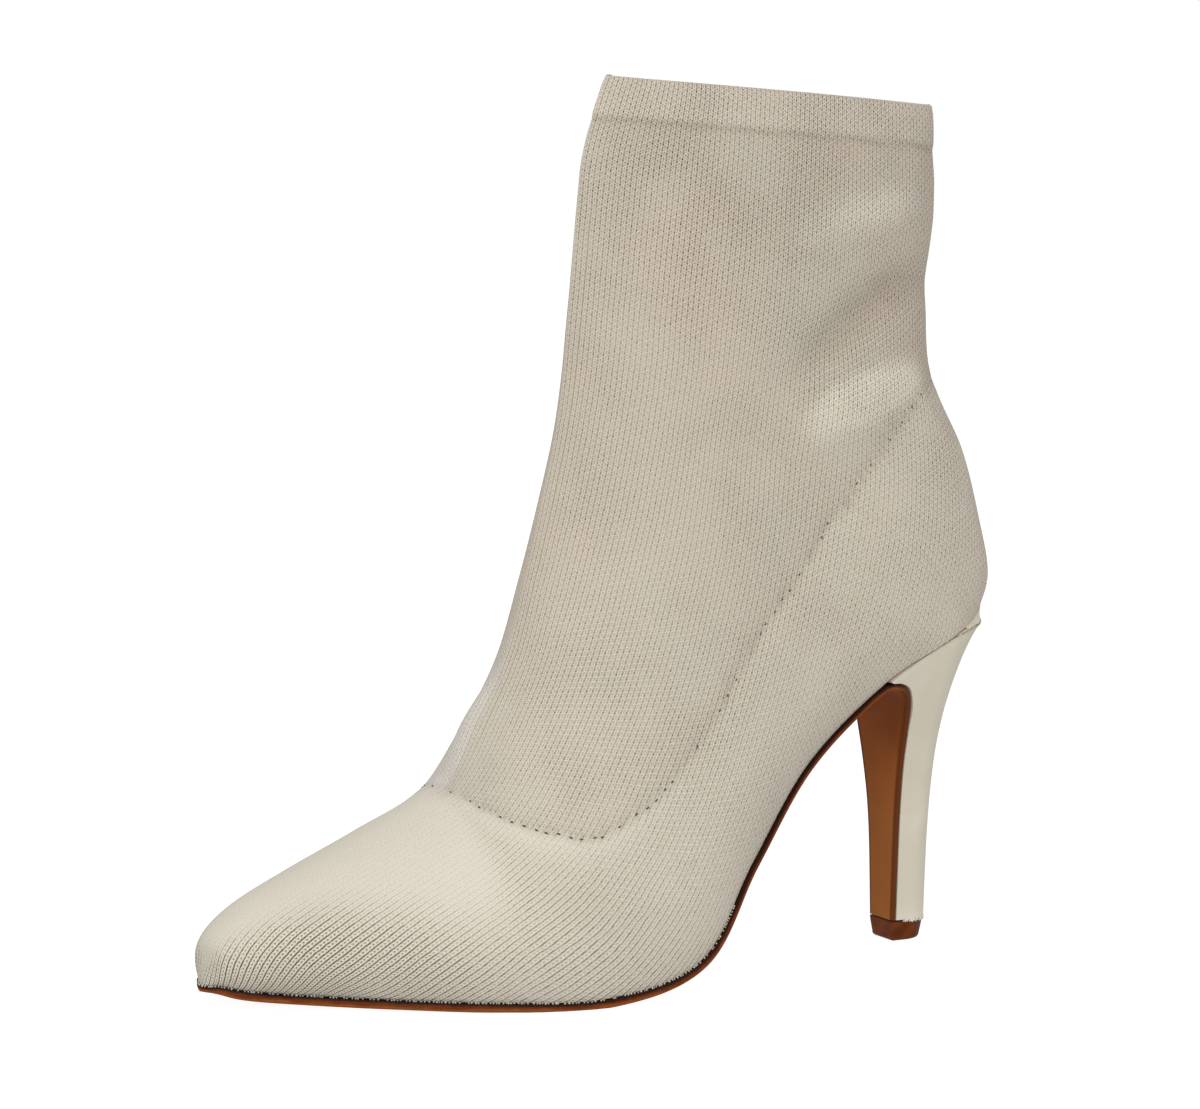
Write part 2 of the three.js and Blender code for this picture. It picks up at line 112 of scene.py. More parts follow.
def through(values, s, start="free", end="free"):
    """Smooth curve through equally spaced values; 'even' or 'odd' mirrors it past an end, 'free' runs on straight."""
    v = np.asarray(values, float)
    n = len(v) - 1
    at = np.clip(s, 0, n - 1e-9)
    i = np.floor(at).astype(int)
    t = at - i
    if v.ndim > 1:
        t = t[..., None]

    def past(edge, inside, mode):
        return inside if mode == "even" else (-inside if mode == "odd" else 2 * edge - inside)
    e = np.concatenate([[past(v[0], v[1], start)], v, [past(v[-1], v[-2], end)]])
    p0, p1, p2, p3 = e[i], e[i + 1], e[i + 2], e[i + 3]
    return 0.5 * (2 * p1 + (p2 - p0) * t + (2 * p0 - 5 * p1 + 4 * p2 - p3) * t * t
                  + (3 * p1 - p0 - 3 * p2 + p3) * t ** 3)


def smooth(x, a, b):
    t = np.clip((np.asarray(x, float) - a) / (b - a), 0, 1)
    return t * t * (3 - 2 * t)


def station(s):
    s = np.atleast_1d(np.asarray(s, float))

    def col(n):
        return LAST[:, LAST_COLUMNS.index(n)]

    def foot(n, mode):
        return through(col(n)[:SEAT_ROW + 1], np.minimum(s, SEAT_ROW), mode, mode)

    def back(n):
        return through(col(n)[SEAT_ROW:], np.maximum(s - SEAT_ROW, 0))

    def whole(n, start="free"):
        return through(col(n), s, start)
    in_foot = s <= SEAT_ROW
    f = [np.where(in_foot, np.maximum(foot(n, "odd"), 0), 0) for n in ("fL", "fR")]
    b = np.stack([whole("xb", "even"), np.where(in_foot, foot("yb", "even"), back("yb")),
                  np.where(in_foot, foot("zb", "even"), back("zb"))], -1)
    t = np.stack([whole("xt", "even"), whole("yt", "even"), whole("zt")], -1)
    w = [np.maximum(whole(n, "odd"), f[k]) for k, n in enumerate(("wL", "wR"))]
    return b, t, f, w, whole("hw"), whole("rb"), whole("rt")


def skin(s, v, side):
    """Points of the last for every station s and every place v across: (len(s), len(v), 3)."""
    b, t, f, w, hw, rb, rt = station(s)
    v = np.atleast_1d(np.asarray(v, float))[None]
    f, w, hw, rb, rt = f[side][:, None], w[side][:, None], hw[:, None], rb[:, None], rt[:, None]
    a = np.clip(v / LOW_SHARE, 0, 1) * np.pi / 2
    c = np.clip((v - LOW_SHARE) / (1 - LOW_SHARE), 0, 1) * np.pi / 2
    low = v < LOW_SHARE
    h = np.where(low, hw * (1 - np.cos(a)), hw + (1 - hw) * np.sin(c))
    x = np.where(low, np.sqrt(f ** 2 + np.maximum(w ** 2 - f ** 2, 0) * np.sin(a) ** (4 * rb)),
                 w * np.maximum(1 - np.sin(c) ** 2, 0) ** rt)
    p = b[:, None] + (t - b)[:, None] * h[..., None]
    p[..., 0] += x if side == 0 else -x
    return p


def point(s, v, side):
    """One point for each pair (s, v)."""
    return np.array([skin([a], [b], side)[0, 0] for a, b in zip(s, v)])


def sole_frame(s):
    at = np.clip(s, 0.38, SEAT_ROW - 0.35)
    run = station(at + 0.08)[0] - station(at - 0.08)[0]
    run[:, 0] = 0
    run /= np.linalg.norm(run, axis=1)[:, None]
    return run, np.stack([run[:, 0], -run[:, 2], run[:, 1]], -1)


# ------------------------------------------------------------------ lines and forms on the skin
# the tack line that joins the knit to the pump-shaped lining under it: station and place across, outer side,
# from the ridge of the vamp to the back line; one stitch hole at each row but the first and the last, on each side
SEAM = [
    (5.99, 1.000), (5.99, 0.926), (6.10, 0.839), (6.15, 0.803), (6.33, 0.739), (6.44, 0.708), (6.57, 0.681),
    (6.70, 0.655), (6.80, 0.638), (6.95, 0.620), (7.07, 0.600), (7.19, 0.585), (7.35, 0.572), (7.44, 0.564),
    (7.69, 0.556), (7.96, 0.546), (8.12, 0.535), (8.27, 0.526), (8.43, 0.518), (8.57, 0.508), (9.05, 0.483),
    (9.51, 0.467), (9.68, 0.463), (9.87, 0.459), (10.40, 0.452), (10.52, 0.451), (10.69, 0.446),
    (10.86, 0.443), (11.00, 0.438), (11.25, 0.436), (11.90, 0.431), (12.18, 0.433), (13.44, 0.410),
    (14.11, 0.386), (15.00, 0.339), (15.53, 0.307), (15.95, 0.274), (16.37, 0.230), (16.85, 0.130), (17.05, 0.0),
]

# soft troughs (depth above 0) and ridges (below 0): rows of station, across, depth, half width
FOLDS = {
    # name: (outer side share, inner side share, rows)
    "ankle trough": (1.0, 0.8, [(18.2, 0.03, 0.2, 8), (18.14, 0.10, 0.9, 8), (17.83, 0.22, 2.0, 8),
                                (17.48, 0.28, 2.4, 8), (16.73, 0.36, 2.4, 8), (15.60, 0.445, 1.6, 8),
                                (14.27, 0.542, 0.5, 8), (13.4, 0.60, 0.0, 8)]),
    "below the trough": (1.0, 0.8, [(17.2, 0.12, 0.0, 7), (16.3, 0.28, -1.3, 8), (15.39, 0.377, -1.6, 9),
                                    (14.2, 0.47, -0.8, 10), (13.2, 0.52, 0.0, 10)]),
    "above the trough": (1.0, 0.8, [(19.2, 0.08, 0.0, 7), (18.8, 0.25, -0.8, 8), (18.3, 0.37, -0.6, 9),
                                    (17.4, 0.45, 0.0, 10)]),
    "throat dip": (1.0, 1.3, [(6.30, 0.78, 0.0, 5), (6.12, 0.88, 0.2, 5), (6.02, 0.95, 0.4, 5), (6.0, 1.0, 0.6, 5)]),
    "instep lobe": (0.0, 1.0, [(6.15, 0.92, 0.0, 5), (6.5, 0.93, -0.7, 6), (6.9, 0.94, -1.5, 6), (7.25, 0.95, -1.2, 5),
                               (7.6, 0.96, 0.0, 4)]),
    "instep flat": (1.0, 0.0, [(6.5, 0.86, 0.0, 6), (7.0, 0.89, 0.4, 6), (7.8, 0.90, 0.4, 7), (8.8, 0.91, 0.0, 8)]),
    "back corner": (1.0, 1.0, [(16.5, 0.0, 0.5, 5), (17.0, 0.0, 0.6, 5), (17.6, 0.0, 0.3, 6), (18.2, 0.0, 0.3, 7)]),
    "back bulge": (1.0, 1.0, [(18.9, 0.0, -0.4, 7), (19.25, 0.0, -0.5, 7)]),
    "quarter hollow": (1.0, 1.0, [(9.4, 0.36, 0.0, 10), (10.3, 0.33, 0.5, 11), (11.2, 0.31, 0.5, 11), (12.2, 0.29, 0.0, 11)]),
    "vamp drag": (1.0, 0.6, [(6.9, 0.52, 0.0, 5), (7.3, 0.46, -0.3, 5), (7.8, 0.40, -0.3, 5), (8.3, 0.33, 0.0, 5)]),
}

# the knit's columns: station, place across, angle from the running direction (towards the ridge), width of a column
WALES = [
    (1.65, 0.50, 42, 1.70), (1.9, 0.90, 22, 1.70), (2.37, 0.42, 52, 1.56), (2.54, 0.77, 24, 1.80),
    (2.96, 0.31, 62, 1.55), (3.17, 0.47, 40, 1.56), (3.73, 0.24, 60, 1.60), (3.89, 0.44, 35, 1.52),
    (4.11, 0.40, 37, 1.51), (4.77, 0.42, 36, 1.53), (5.17, 0.20, 49, 1.80), (5.83, 0.29, 44, 1.72),
    (6.49, 0.23, 37, 1.98), (6.92, 0.32, 27, 1.88), (5.44, 0.52, 29, 1.47), (5.25, 0.59, 24, 1.48),
    (6.39, 0.49, 22, 1.55), (6.32, 0.63, 12, 1.46), (5.70, 0.75, 11, 1.53), (4.92, 0.77, 12, 1.57),
    (4.13, 0.74, 15, 1.66), (3.56, 0.72, 18, 1.65), (6.77, 0.56, 15, 1.45), (6.63, 0.72, 13, 1.46),
    (7.25, 0.68, 14, 1.42), (7.64, 0.61, 14, 1.46), (7.41, 0.49, 24, 1.57), (7.52, 0.36, 27, 1.83),
    (7.67, 0.48, 18, 1.58), (8.22, 0.57, 3, 1.55), (8.34, 0.46, 2, 1.63), (8.18, 0.32, 7, 1.82),
    (8.61, 0.31, 0, 1.85), (9.21, 0.58, 1, 1.55), (8.99, 0.47, 3, 1.56), (9.75, 0.44, 9, 1.61),
    (9.54, 0.32, 11, 1.85), (9.93, 0.57, 6, 1.52), (10.12, 0.47, 12, 1.54), (10.68, 0.26, 31, 1.77),
    (10.95, 0.30, 29, 1.80), (11.44, 0.19, 48, 1.75), (11.49, 0.32, 34, 1.80), (11.77, 0.39, 27, 1.78),
    (12.19, 0.34, 42, 1.78), (10.81, 0.40, 21, 1.66), (11.24, 0.47, 17, 1.52), (12.48, 0.46, 30, 1.56),
    (12.15, 0.54, 22, 1.40), (12.06, 0.61, 12, 1.30), (12.57, 0.65, 5, 1.33), (11.81, 0.74, 1, 1.46),
    (11.29, 0.73, 3, 1.46), (9.52, 0.77, 0, 1.40), (8.96, 0.67, -1, 1.45), (8.63, 0.85, -2, 1.44),
    (7.98, 0.77, 4, 1.41), (8.08, 0.66, 4, 1.45), (7.18, 0.89, 8, 1.50), (13.12, 0.21, 0, 1.85),
    (13.81, 0.44, -6, 1.65), (13.80, 0.34, -3, 1.82), (14.70, 0.23, -23, 1.88), (15.59, 0.25, -15, 1.85),
    (16.94, 0.86, -3, 1.36), (17.74, 0.66, -6, 1.47), (18.29, 0.50, -3, 1.49), (18.68, 0.35, 0, 1.50),
    (18.96, 0.20, -2, 1.70), (13.47, 0.88, -2, 1.36), (14.41, 0.69, -10, 1.44), (15.68, 0.76, -8, 1.42),
    (15.67, 0.52, -20, 1.40), (16.67, 0.34, -36, 1.48), (17.4, 0.17, -14, 1.60), (17.20, 0.58, -12, 1.46),
    (3.0, 1.0, 4, 1.5), (4.5, 1.0, 0, 1.5), (6.0, 1.0, 0, 1.5), (7.5, 1.0, 0, 1.5), (9.0, 1.0, 0, 1.42),
    (11.0, 1.0, 0, 1.40), (13.0, 1.0, 0, 1.38), (15.0, 1.0, 0, 1.38), (17.0, 1.0, 0, 1.40), (19.0, 1.0, 0, 1.42),
    (20.0, 1.0, 0, 1.42), (20.0, 0.5, -1, 1.48), (20.0, 0.0, 0, 1.60),
]
COURSE_SHAFT, COURSE_TOE = 1.76, 1.02      # between rows of loops


def ribbed(s, v):
    """How far the knit is stretched into ribs: 1 on the toe's and vamp's sides, 0 on shaft and quarter."""
    s, v = np.broadcast_arrays(np.asarray(s, float), np.asarray(v, float))
    seam_v = np.interp(s, [a for a, _ in SEAM], [b for _, b in SEAM])
    low = 1 - smooth(v, seam_v - 0.30, seam_v + 0.02)
    fore = 1 - smooth(s, 6.3, 9.6)
    top = 1 - smooth(v, 0.50 + 0.25 * (1 - smooth(s, 1.5, 4.5)), 0.80 + 0.12 * (1 - smooth(s, 1.5, 4.5)))
    return np.where(s < 6.0, top, np.minimum(low, top)) * fore


def knit_field():
    """Column and row numbers of the knit over the outer half of the skin, from the table of directions."""
    sc, vc = np.linspace(0.4, TOP_ROW, 62), np.linspace(0, 1, 35)
    p = skin(sc, vc, 0)
    a = (p[1:, 1:] - p[:-1, 1:] + p[1:, :-1] - p[:-1, :-1]) / 2
    b = (p[1:, 1:] - p[1:, :-1] + p[:-1, 1:] - p[:-1, :-1]) / 2
    mid = (p[1:, 1:] + p[:-1, 1:] + p[1:, :-1] + p[:-1, :-1]) / 4
    es = a / np.linalg.norm(a, axis=-1, keepdims=True)
    n = np.cross(es, b)
    n /= np.linalg.norm(n, axis=-1, keepdims=True)
    en = np.cross(n, es)
    ws, wv, wa, wp = np.array(WALES, float).T
    at = point(ws, wv, 0)
    i = np.clip(np.searchsorted(sc, ws) - 1, 0, len(sc) - 2)
    j = np.clip(np.searchsorted(vc, wv) - 1, 0, len(vc) - 2)
    ang = np.radians(wa)[:, None]
    dirs = es[i, j] * np.cos(ang) + en[i, j] * np.sin(ang)
    d2 = ((mid[:, :, None] - at[None, None]) ** 2).sum(-1)
    weight = 1 / (d2 + 25.0) ** 2
    t = (weight[..., None] * dirs[None, None]).sum(2)
    t -= n * (t * n).sum(-1, keepdims=True)
    t /= np.linalg.norm(t, axis=-1, keepdims=True)
    rib = ribbed((sc[1:, None] + sc[:-1, None]) / 2, (vc[None, 1:] + vc[None, :-1]) / 2)
    pitch = (weight * wp).sum(2) / weight.sum(2)
    course = COURSE_SHAFT + (COURSE_TOE - COURSE_SHAFT) * smooth(rib, 0.0, 0.6)
    across = np.cross(t, n) / pitch[..., None]
    along = t / course[..., None]
    ns, nv = len(sc), len(vc)
    idx = np.arange(ns * nv).reshape(ns, nv)
    c00, c10, c01, c11 = (q.ravel() for q in (idx[:-1, :-1], idx[1:, :-1], idx[:-1, 1:], idx[1:, 1:]))
    la, lb = np.linalg.norm(a, axis=-1).ravel(), np.linalg.norm(b, axis=-1).ravel()
    size = ns * nv
    normal = np.zeros((size, size))

    def add(ids, coef, target_list, rhs_list):
        for k, (ik, ck) in enumerate(zip(ids, coef)):
            for il, cl in zip(ids, coef):
                np.add.at(normal, (ik, il), ck * cl)
            for target, rhs in zip(target_list, rhs_list):
                np.add.at(rhs, ik, ck * target)
    r_u, r_w = np.zeros(size), np.zeros(size)
    quad = [c00, c10, c01, c11]
    area = np.sqrt(la * lb)
    add(quad, [k * 0.5 * area / la for k in (-1, 1, -1, 1)],
        [(a * across).sum(-1).ravel() * area / la, (a * along).sum(-1).ravel() * area / la], [r_u, r_w])
    add(quad, [k * 0.5 * area / lb for k in (-1, -1, 1, 1)],
        [(b * across).sum(-1).ravel() * area / lb, (b * along).sum(-1).ravel() * area / lb], [r_u, r_w])
    # evens out checkerboards
    add(quad, [k * 0.6 * np.ones(len(c00)) for k in (1, -1, -1, 1)], [np.zeros(len(c00))] * 2, [r_u, r_w])
    pin = np.zeros(size)
    pin[idx[:, -1]] = 400.0                 # column 0 runs along the ridge
    u = np.linalg.solve(normal + np.diag(pin + 1e-6), r_u)
    pin = np.full(size, 1e-6)
    pin[idx[-1, :]] = 40.0                  # row 0 is the collar
    w = np.linalg.solve(normal + np.diag(pin), r_w)
    return sc, u.reshape(ns, nv), w.reshape(ns, nv)


def refine(table, sc, s, v):
    rows = through(table, (np.maximum(s, sc[0]) - sc[0]) / (sc[1] - sc[0]))
    rows = rows + np.where(s < sc[0], s - sc[0], 0)[:, None] * (rows[np.searchsorted(s, sc[0]) + 2] - rows[np.searchsorted(s, sc[0])])[None] \
        / (s[np.searchsorted(s, sc[0]) + 2] - s[np.searchsorted(s, sc[0])])
    return through(rows.T, v * (table.shape[1] - 1)).T


# ------------------------------------------------------------------ meshes
def make_mesh(name, points, faces, node=None, uv=None, attrs=(), weld=None, parent_body="root"):
    """points in last millimetres, faces as tuples, uv: {name: (n, 2)} by vertex."""
    me = bpy.data.meshes.new(name)
    me.from_pydata(put(points).tolist(), [], [tuple(int(i) for i in f) for f in faces])
    corner = np.empty(len(me.loops), int)
    me.loops.foreach_get("vertex_index", corner)
    for layer, values in (uv or {}).items():
        data = me.uv_layers.new(name=layer)
        data.data.foreach_set("uv", np.asarray(values, float)[corner].ravel())
    for key, values in dict(attrs).items():
        at = me.attributes.new(key, "FLOAT", "POINT")
        at.data.foreach_set("value", np.asarray(values, np.float32).ravel())
    if weld:
        bm = bmesh.new()
        bm.from_mesh(me)
        bmesh.ops.remove_doubles(bm, verts=bm.verts, dist=weld)
        bmesh.ops.dissolve_degenerate(bm, dist=weld * 0.5, edges=bm.edges)
        bmesh.ops.recalc_face_normals(bm, faces=bm.faces)
        bm.to_mesh(me)
        bm.free()
    me.polygons.foreach_set("use_smooth", [True] * len(me.polygons))
    me.set_sharp_from_angle(angle=math.radians(58))
    me.update()
    ob = bpy.data.objects.new(name, me)
    bpy.context.scene.collection.objects.link(ob)
    if node:
        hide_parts(node)
    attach(ob, parent_body)
    return ob


def grid_faces(rows, cols, wrap=False, flip=False, first=0):
    i, j = np.meshgrid(np.arange(rows - 1), np.arange(cols if wrap else cols - 1), indexing="ij")
    k = (j + 1) % cols
    q = np.stack([i * cols + j, i * cols + k, (i + 1) * cols + k, (i + 1) * cols + j], -1).reshape(-1, 4) + first
    return q[:, ::-1] if flip else q


def ladder(n, first=0, flip=False):
    """Strips across a closed ring whose point j faces point n - 1 - j."""
    out = []
    for j in range(n // 2):
        a, b, c, d = j, j + 1, n - 2 - j, n - 1 - j
        f = (a, b, c, d) if b < c else ((a, b, d) if b == c else None)
        if f:
            f = tuple(first + q for q in f)
            out.append(f[::-1] if flip else f)
    return out


def grid_normals(p):
    ds, dv = np.gradient(p, axis=0), np.gradient(p, axis=1)
    n = np.cross(ds, dv)
    n /= np.maximum(np.linalg.norm(n, axis=-1, keepdims=True), 1e-9)
    return n


def nearest(points, line):
    """Distance from every point to the nearest point of a dense line, and that point's number."""
    best, which = np.full(len(points), 1e9), np.zeros(len(points), int)
    for k, q in enumerate(line):
        d = np.linalg.norm(points - q, axis=1)
        closer = d < best
        best[closer], which[closer] = d[closer], k
    return best, which


def dense(rows, count):
    rows = np.asarray(rows, float)
    return through(rows, np.linspace(0, len(rows) - 1, count))


S_FINE = np.unique(np.round(np.concatenate([
    np.linspace(0, 0.8, 14), np.linspace(0.8, 3, 34), np.linspace(3, 13, 170), np.linspace(13, 19.2, 76),
    np.linspace(19.2, 20, 14)]), 6))
V_FINE = np.linspace(0, 1, 100)
ACROSS_SIDE = np.concatenate([np.zeros(100, int), np.ones(99, int)])
ACROSS_V = np.concatenate([V_FINE, V_FINE[-2::-1]])


def outer_grid(s, v):
    """Both sides in one grid: outer feather, ridge, inner feather."""
    return np.concatenate([skin(s, v, 0), skin(s, v[:-1], 1)[:, ::-1]], axis=1)


def fold_depth(points, side_of, shape):
    """How far each point moves inwards for the folds of the table."""
    depth = np.zeros(len(points))
    for outer, inner, rows in FOLDS.values():
        for side, share in ((0, outer), (1, inner)):
            if not share:
                continue
            line = dense(rows, 48)
            centre = point(np.clip(line[:, 0], 0, TOP_ROW), np.clip(line[:, 1], 0, 1), side)
            d, k = nearest(points, centre)
            width = line[k, 3]
            depth_here = line[k, 2] * share * np.exp(-(d / width) ** 2 * 1.4)
            depth += depth_here * (0.5 if np.all(np.asarray(rows)[:, 1] == 0) else 1.0)
    return depth


def seam_line(side, count=400):
    rows = dense(SEAM, count)
    return rows, point(rows[:, 0], np.clip(rows[:, 1], 0, 1), side)


def make_upper():
    s, cols = S_FINE, len(ACROSS_V)
    p = outer_grid(s, V_FINE)
    n = grid_normals(p)
    back = s >= SEAT_ROW - 1e-6
    mean = n[:, 0] + n[:, -1]
    mean /= np.linalg.norm(mean, axis=-1, keepdims=True)
    n[back, 0] = n[back, -1] = mean[back]
    n[0] = (0, -1, 0)
    flat = p.reshape(-1, 3)

    # distance down from the collar, along the surface
    steps = np.linalg.norm(np.diff(p, axis=0), axis=-1)
    down = np.concatenate([np.cumsum(steps[::-1], axis=0)[::-1], np.zeros((1, cols))])

    # signed distance to the tack line (below it is positive) and length along it
    seam_d = np.full(len(flat), 1e9)
    seam_a = np.zeros(len(flat))
    ss = np.repeat(s, cols)
    vv = np.tile(ACROSS_V, len(s))
    sd = np.tile(ACROSS_SIDE, len(s))
    for side in (0, 1):
        rows, line = seam_line(side)
        arc = np.concatenate([[0], np.cumsum(np.linalg.norm(np.diff(line, axis=0), axis=1))])
        near = np.where(sd == side)[0]
        d, k = nearest(flat[near], line)
        seam_d[near], seam_a[near] = d, arc[k]
    seam_s = np.interp(vv, [b for _, b in SEAM][::-1], [a for a, _ in SEAM][::-1])
    below = np.where(ss < seam_s, 1.0, -1.0)

    move = -fold_depth(flat, sd, p.shape)
    move += 0.15 * np.where(below > 0, 1, -1) * (1 - np.exp(-(seam_d / 2.2) ** 2)) * np.exp(-(seam_d / 14) ** 2)
    move += -0.24 * np.exp(-(seam_d / 1.1) ** 2)
    # small puckers that the tack stitches pull
    move += 0.12 * np.exp(-(seam_d / 3.0) ** 2) * np.sin(seam_a * 2 * np.pi / 6.1 + np.sin(seam_a * 0.21) * 2)
    c = down.ravel()
    hem = smooth(c, 12.6, 10.2)
    move += 0.26 * hem - 0.20 * np.exp(-((c - 11.4) / 0.9) ** 2) - 0.25 * np.exp(-(c / 1.2) ** 2)
    wave = np.sin(vv * 9 + sd * 2 + 0.8) * 0.18 + np.sin(vv * 21 + sd * 4) * 0.08
    move += wave * np.exp(-((c - 6) / 5) ** 2)
    # slight unevenness of the hanging shaft
    y, z = flat[:, 1], flat[:, 2]
    shaft = smooth(ss, 11, 14) * (1 - smooth(ss, 19.3, 19.9)) * np.sin(np.clip(vv, 0, 1) * np.pi)
    move += shaft * (0.22 * np.sin(y / 9.5 + z / 17) + 0.16 * np.sin(z / 11 - y / 23 + 1.3))
    fade = smooth(ss, 0.0, 1.2)
    q = flat + n.reshape(-1, 3) * (move * fade)[:, None]
    # the collar's edge rises a little at the shin and at the back, and dips between
    lift = (0.75 * np.abs(2 * np.where(vv > 0.5, vv, vv) - 1) ** 2.2 - 0.5) * smooth(c, 16, 0)
    q[:, 2] += lift
    q = q.reshape(p.shape)

    # the folded rim at the top
    run = q[-1, 0] - q[-1, 99]
    run[0] = 0
    run /= np.linalg.norm(run)
    up = np.array([0, -run[2], run[1]])
    rim_n = n[-1] - (n[-1] @ up)[:, None] * up
    rim_n /= np.linalg.norm(rim_n, axis=1)[:, None]
    r = HEM_WALL / 2
    rim = []
    for a in np.linspace(0, np.pi, 9)[1:]:
        rim.append(q[-1] - rim_n * r + (rim_n * math.cos(a)) * r + up * (0.75 * math.sin(a)))
    inside = q[-1] - rim_n * HEM_WALL
    rim.append(inside - up * 1.5)
    rim.append(inside - up * 4.0)
    rim = np.array(rim)

    # knit numbers
    sc, u, w = knit_field()
    uf, wf = refine(u, sc, s, V_FINE), refine(w, sc, s, V_FINE)
    U = np.concatenate([uf, -uf[:, -2::-1]], axis=1)
    W = np.concatenate([wf, wf[:, -2::-1]], axis=1)
    rows = len(s)
    all_p = np.concatenate([q.reshape(-1, 3), rim.reshape(-1, 3)])
    extra = np.arange(1, len(rim) + 1)[:, None] * 0.35
    U = np.concatenate([U, np.repeat(U[-1:], len(rim), 0)])
    W = np.concatenate([W, W[-1:] + extra])
    rib = ribbed(ss, vv).reshape(rows, cols)
    rib = np.concatenate([rib, np.repeat(rib[-1:], len(rim), 0)])
    hem_all = np.concatenate([hem, np.ones(len(rim) * cols)])
    hemline = np.concatenate([np.exp(-((c - 11.4) / 0.9) ** 2), np.zeros(len(rim) * cols)])
    seam_all = np.concatenate([np.exp(-(seam_d / 1.0) ** 2), np.zeros(len(rim) * cols)])
    shade = np.concatenate([np.exp(-(seam_d / 3.2) ** 2) * (below < 0), np.zeros(len(rim) * cols)])
    start = 0.45 - 0.10 * smooth(ss, 3.5, 5.5)
    pale = smooth(vv, start, start + 0.40 - 0.12 * smooth(ss, 3.5, 5.5)) * (1 - smooth(ss, 5.7, 6.3)) * smooth(ss, 0.5, 2.0)
    pale = np.maximum(pale, (below > 0) * np.exp(-(seam_d / 6.0) ** 2) * (1 - smooth(ss, 6.5, 9)) * 0.8)
    pale = np.concatenate([pale, np.zeros(len(rim) * cols)])
    foot = np.concatenate([(1 - smooth(ss, 7.5, 11)) * np.where(below > 0, 1.0, 0.54), np.zeros(len(rim) * cols)])
    edge = np.concatenate([np.exp(-(np.minimum(vv, 1) / 0.030) ** 2) * (ss < 11.2), np.zeros(len(rim) * cols)])
    crisp = np.concatenate([1 - smooth(ss, 3.9, 6.3), np.zeros(len(rim) * cols)])
    calm = np.concatenate([1 - smooth(ss, 12.5, 16.5), np.zeros(len(rim) * cols)])
    above = 1 - smooth(seam_d * np.where(below > 0, 1.0, -1.0), -0.5, 1.5)
    # painted light: the far side of the throat and the ridge above the tack line are made paler
    far = np.maximum(sd * smooth(vv, 0.50, 0.85), smooth(vv, 0.965, 0.995)) * above * (1 - smooth(ss, 7.4, 8.6))
    far = np.concatenate([far * smooth(ss, 5.7, 6.1), np.zeros(len(rim) * cols)])
    front = np.concatenate([(sd == 0) * smooth(vv, 0.80, 0.86) * smooth(ss, 6.4, 7.0) * (1 - smooth(ss, 15, 18)), np.zeros(len(rim) * cols)])
    # painted shade in the shaft's fold troughs and painted light on its ridges, taken from the fold depth
    trough = np.concatenate([np.clip(fold_depth(flat, sd, p.shape), -1.5, 2.5) * smooth(ss, 11.5, 13.5), np.zeros(len(rim) * cols)])
    rear = np.concatenate([(below > 0) * smooth(ss, 7.0, 8.5) * (1 - smooth(vv, 0.40, 0.60) * (ss < 9)), np.zeros(len(rim) * cols)])
    faces = [tuple(f) for f in grid_faces(rows + len(rim), cols)]

    # the strip that turns under at the feather line, up to the board
    run_f, up_f = sole_frame(s)
    low = s <= SEAT_ROW + 1e-6
    count = int(low.sum())
    strips, strip_uv, strip_attr = [], [], []
    base = len(all_p)
    for col, sign in ((0, 1), (cols - 1, -1)):
        inward = n[:count, col] - (n[:count, col] * up_f[:count]).sum(1)[:, None] * up_f[:count]
        inward /= np.maximum(np.linalg.norm(inward, axis=1)[:, None], 1e-9)
        rail = [q[:count, col]]
        for k, h in ((0.35, 0.12), (1.1, 0.14), (2.2, 0.05)):
            rail.append(q[:count, col] - inward * k - up_f[:count] * h)
        rail = np.array(rail).transpose(1, 0, 2)
        strips.append(rail.reshape(-1, 3))
        strip_uv.append(np.stack([np.repeat(U[:count, col], 4), np.repeat(W[:count, col], 4) + np.tile(np.arange(4) * 0.4, count)], -1))
        faces += [tuple(f) for f in grid_faces(count, 4, flip=sign > 0, first=base)]
        base += count * 4
    extra_n = sum(len(x) for x in strips)
    all_p = np.concatenate([all_p] + strips)
    uv = np.concatenate([np.stack([U.ravel(), W.ravel()], -1)] + strip_uv)

    def pad(x, value=0.0):
        return np.concatenate([np.asarray(x, float).ravel(), np.full(extra_n, value)])
    attrs = {"rib": pad(rib, 1.0), "hem": pad(hem_all), "hemline": pad(hemline), "seam": pad(seam_all),
             "shade": pad(shade), "crisp": pad(crisp), "calm": pad(calm), "far": pad(far), "front": pad(front), "trough": pad(trough), "rear": pad(rear),
             "pale": pad(pale), "foot": pad(foot, 1.0), "edge": pad(edge, 1.0)}
    ob = make_mesh("upper_knit", all_p, faces, "upper", {"knit": uv}, attrs, weld=2e-6)

    # the inner face, with its lining
    si = s[::3] if s[::3][-1] == s[-1] else np.append(s[::3], s[-1])
    vi = V_FINE[::3]
    pi = outer_grid(si, vi)
    ni = grid_normals(pi)
    backi = si >= SEAT_ROW - 1e-6
    mean = ni[:, 0] + ni[:, -1]
    mean /= np.linalg.norm(mean, axis=-1, keepdims=True)
    ni[backi, 0] = ni[backi, -1] = mean[backi]
    depth = -fold_depth(pi.reshape(-1, 3), None, None)
    wall = WALL + (HEM_WALL - WALL) * smooth(si, TOP_ROW - 0.6, TOP_ROW - 0.3)
    qi = pi + ni * (depth.reshape(pi.shape[:2]) * smooth(si, 0, 1.2)[:, None] - wall[:, None])[..., None]
    keep = np.where((si > 0.9) & (si < TOP_ROW - 0.12))[0]
    qi = qi[keep]
    lining_uv = np.stack(np.meshgrid(si[keep] * 12, np.arange(qi.shape[1]) * 3.4, indexing="ij"), -1).reshape(-1, 2)
    make_mesh("upper_lining", qi.reshape(-1, 3), grid_faces(*qi.shape[:2], flip=True), "upper",
              {"knit": lining_uv}, {"rib": np.zeros(qi.shape[0] * qi.shape[1])}, weld=2e-6)
    return q, n, U, W, s


upper_q, upper_n, knit_u, knit_w, rows_s = make_upper()


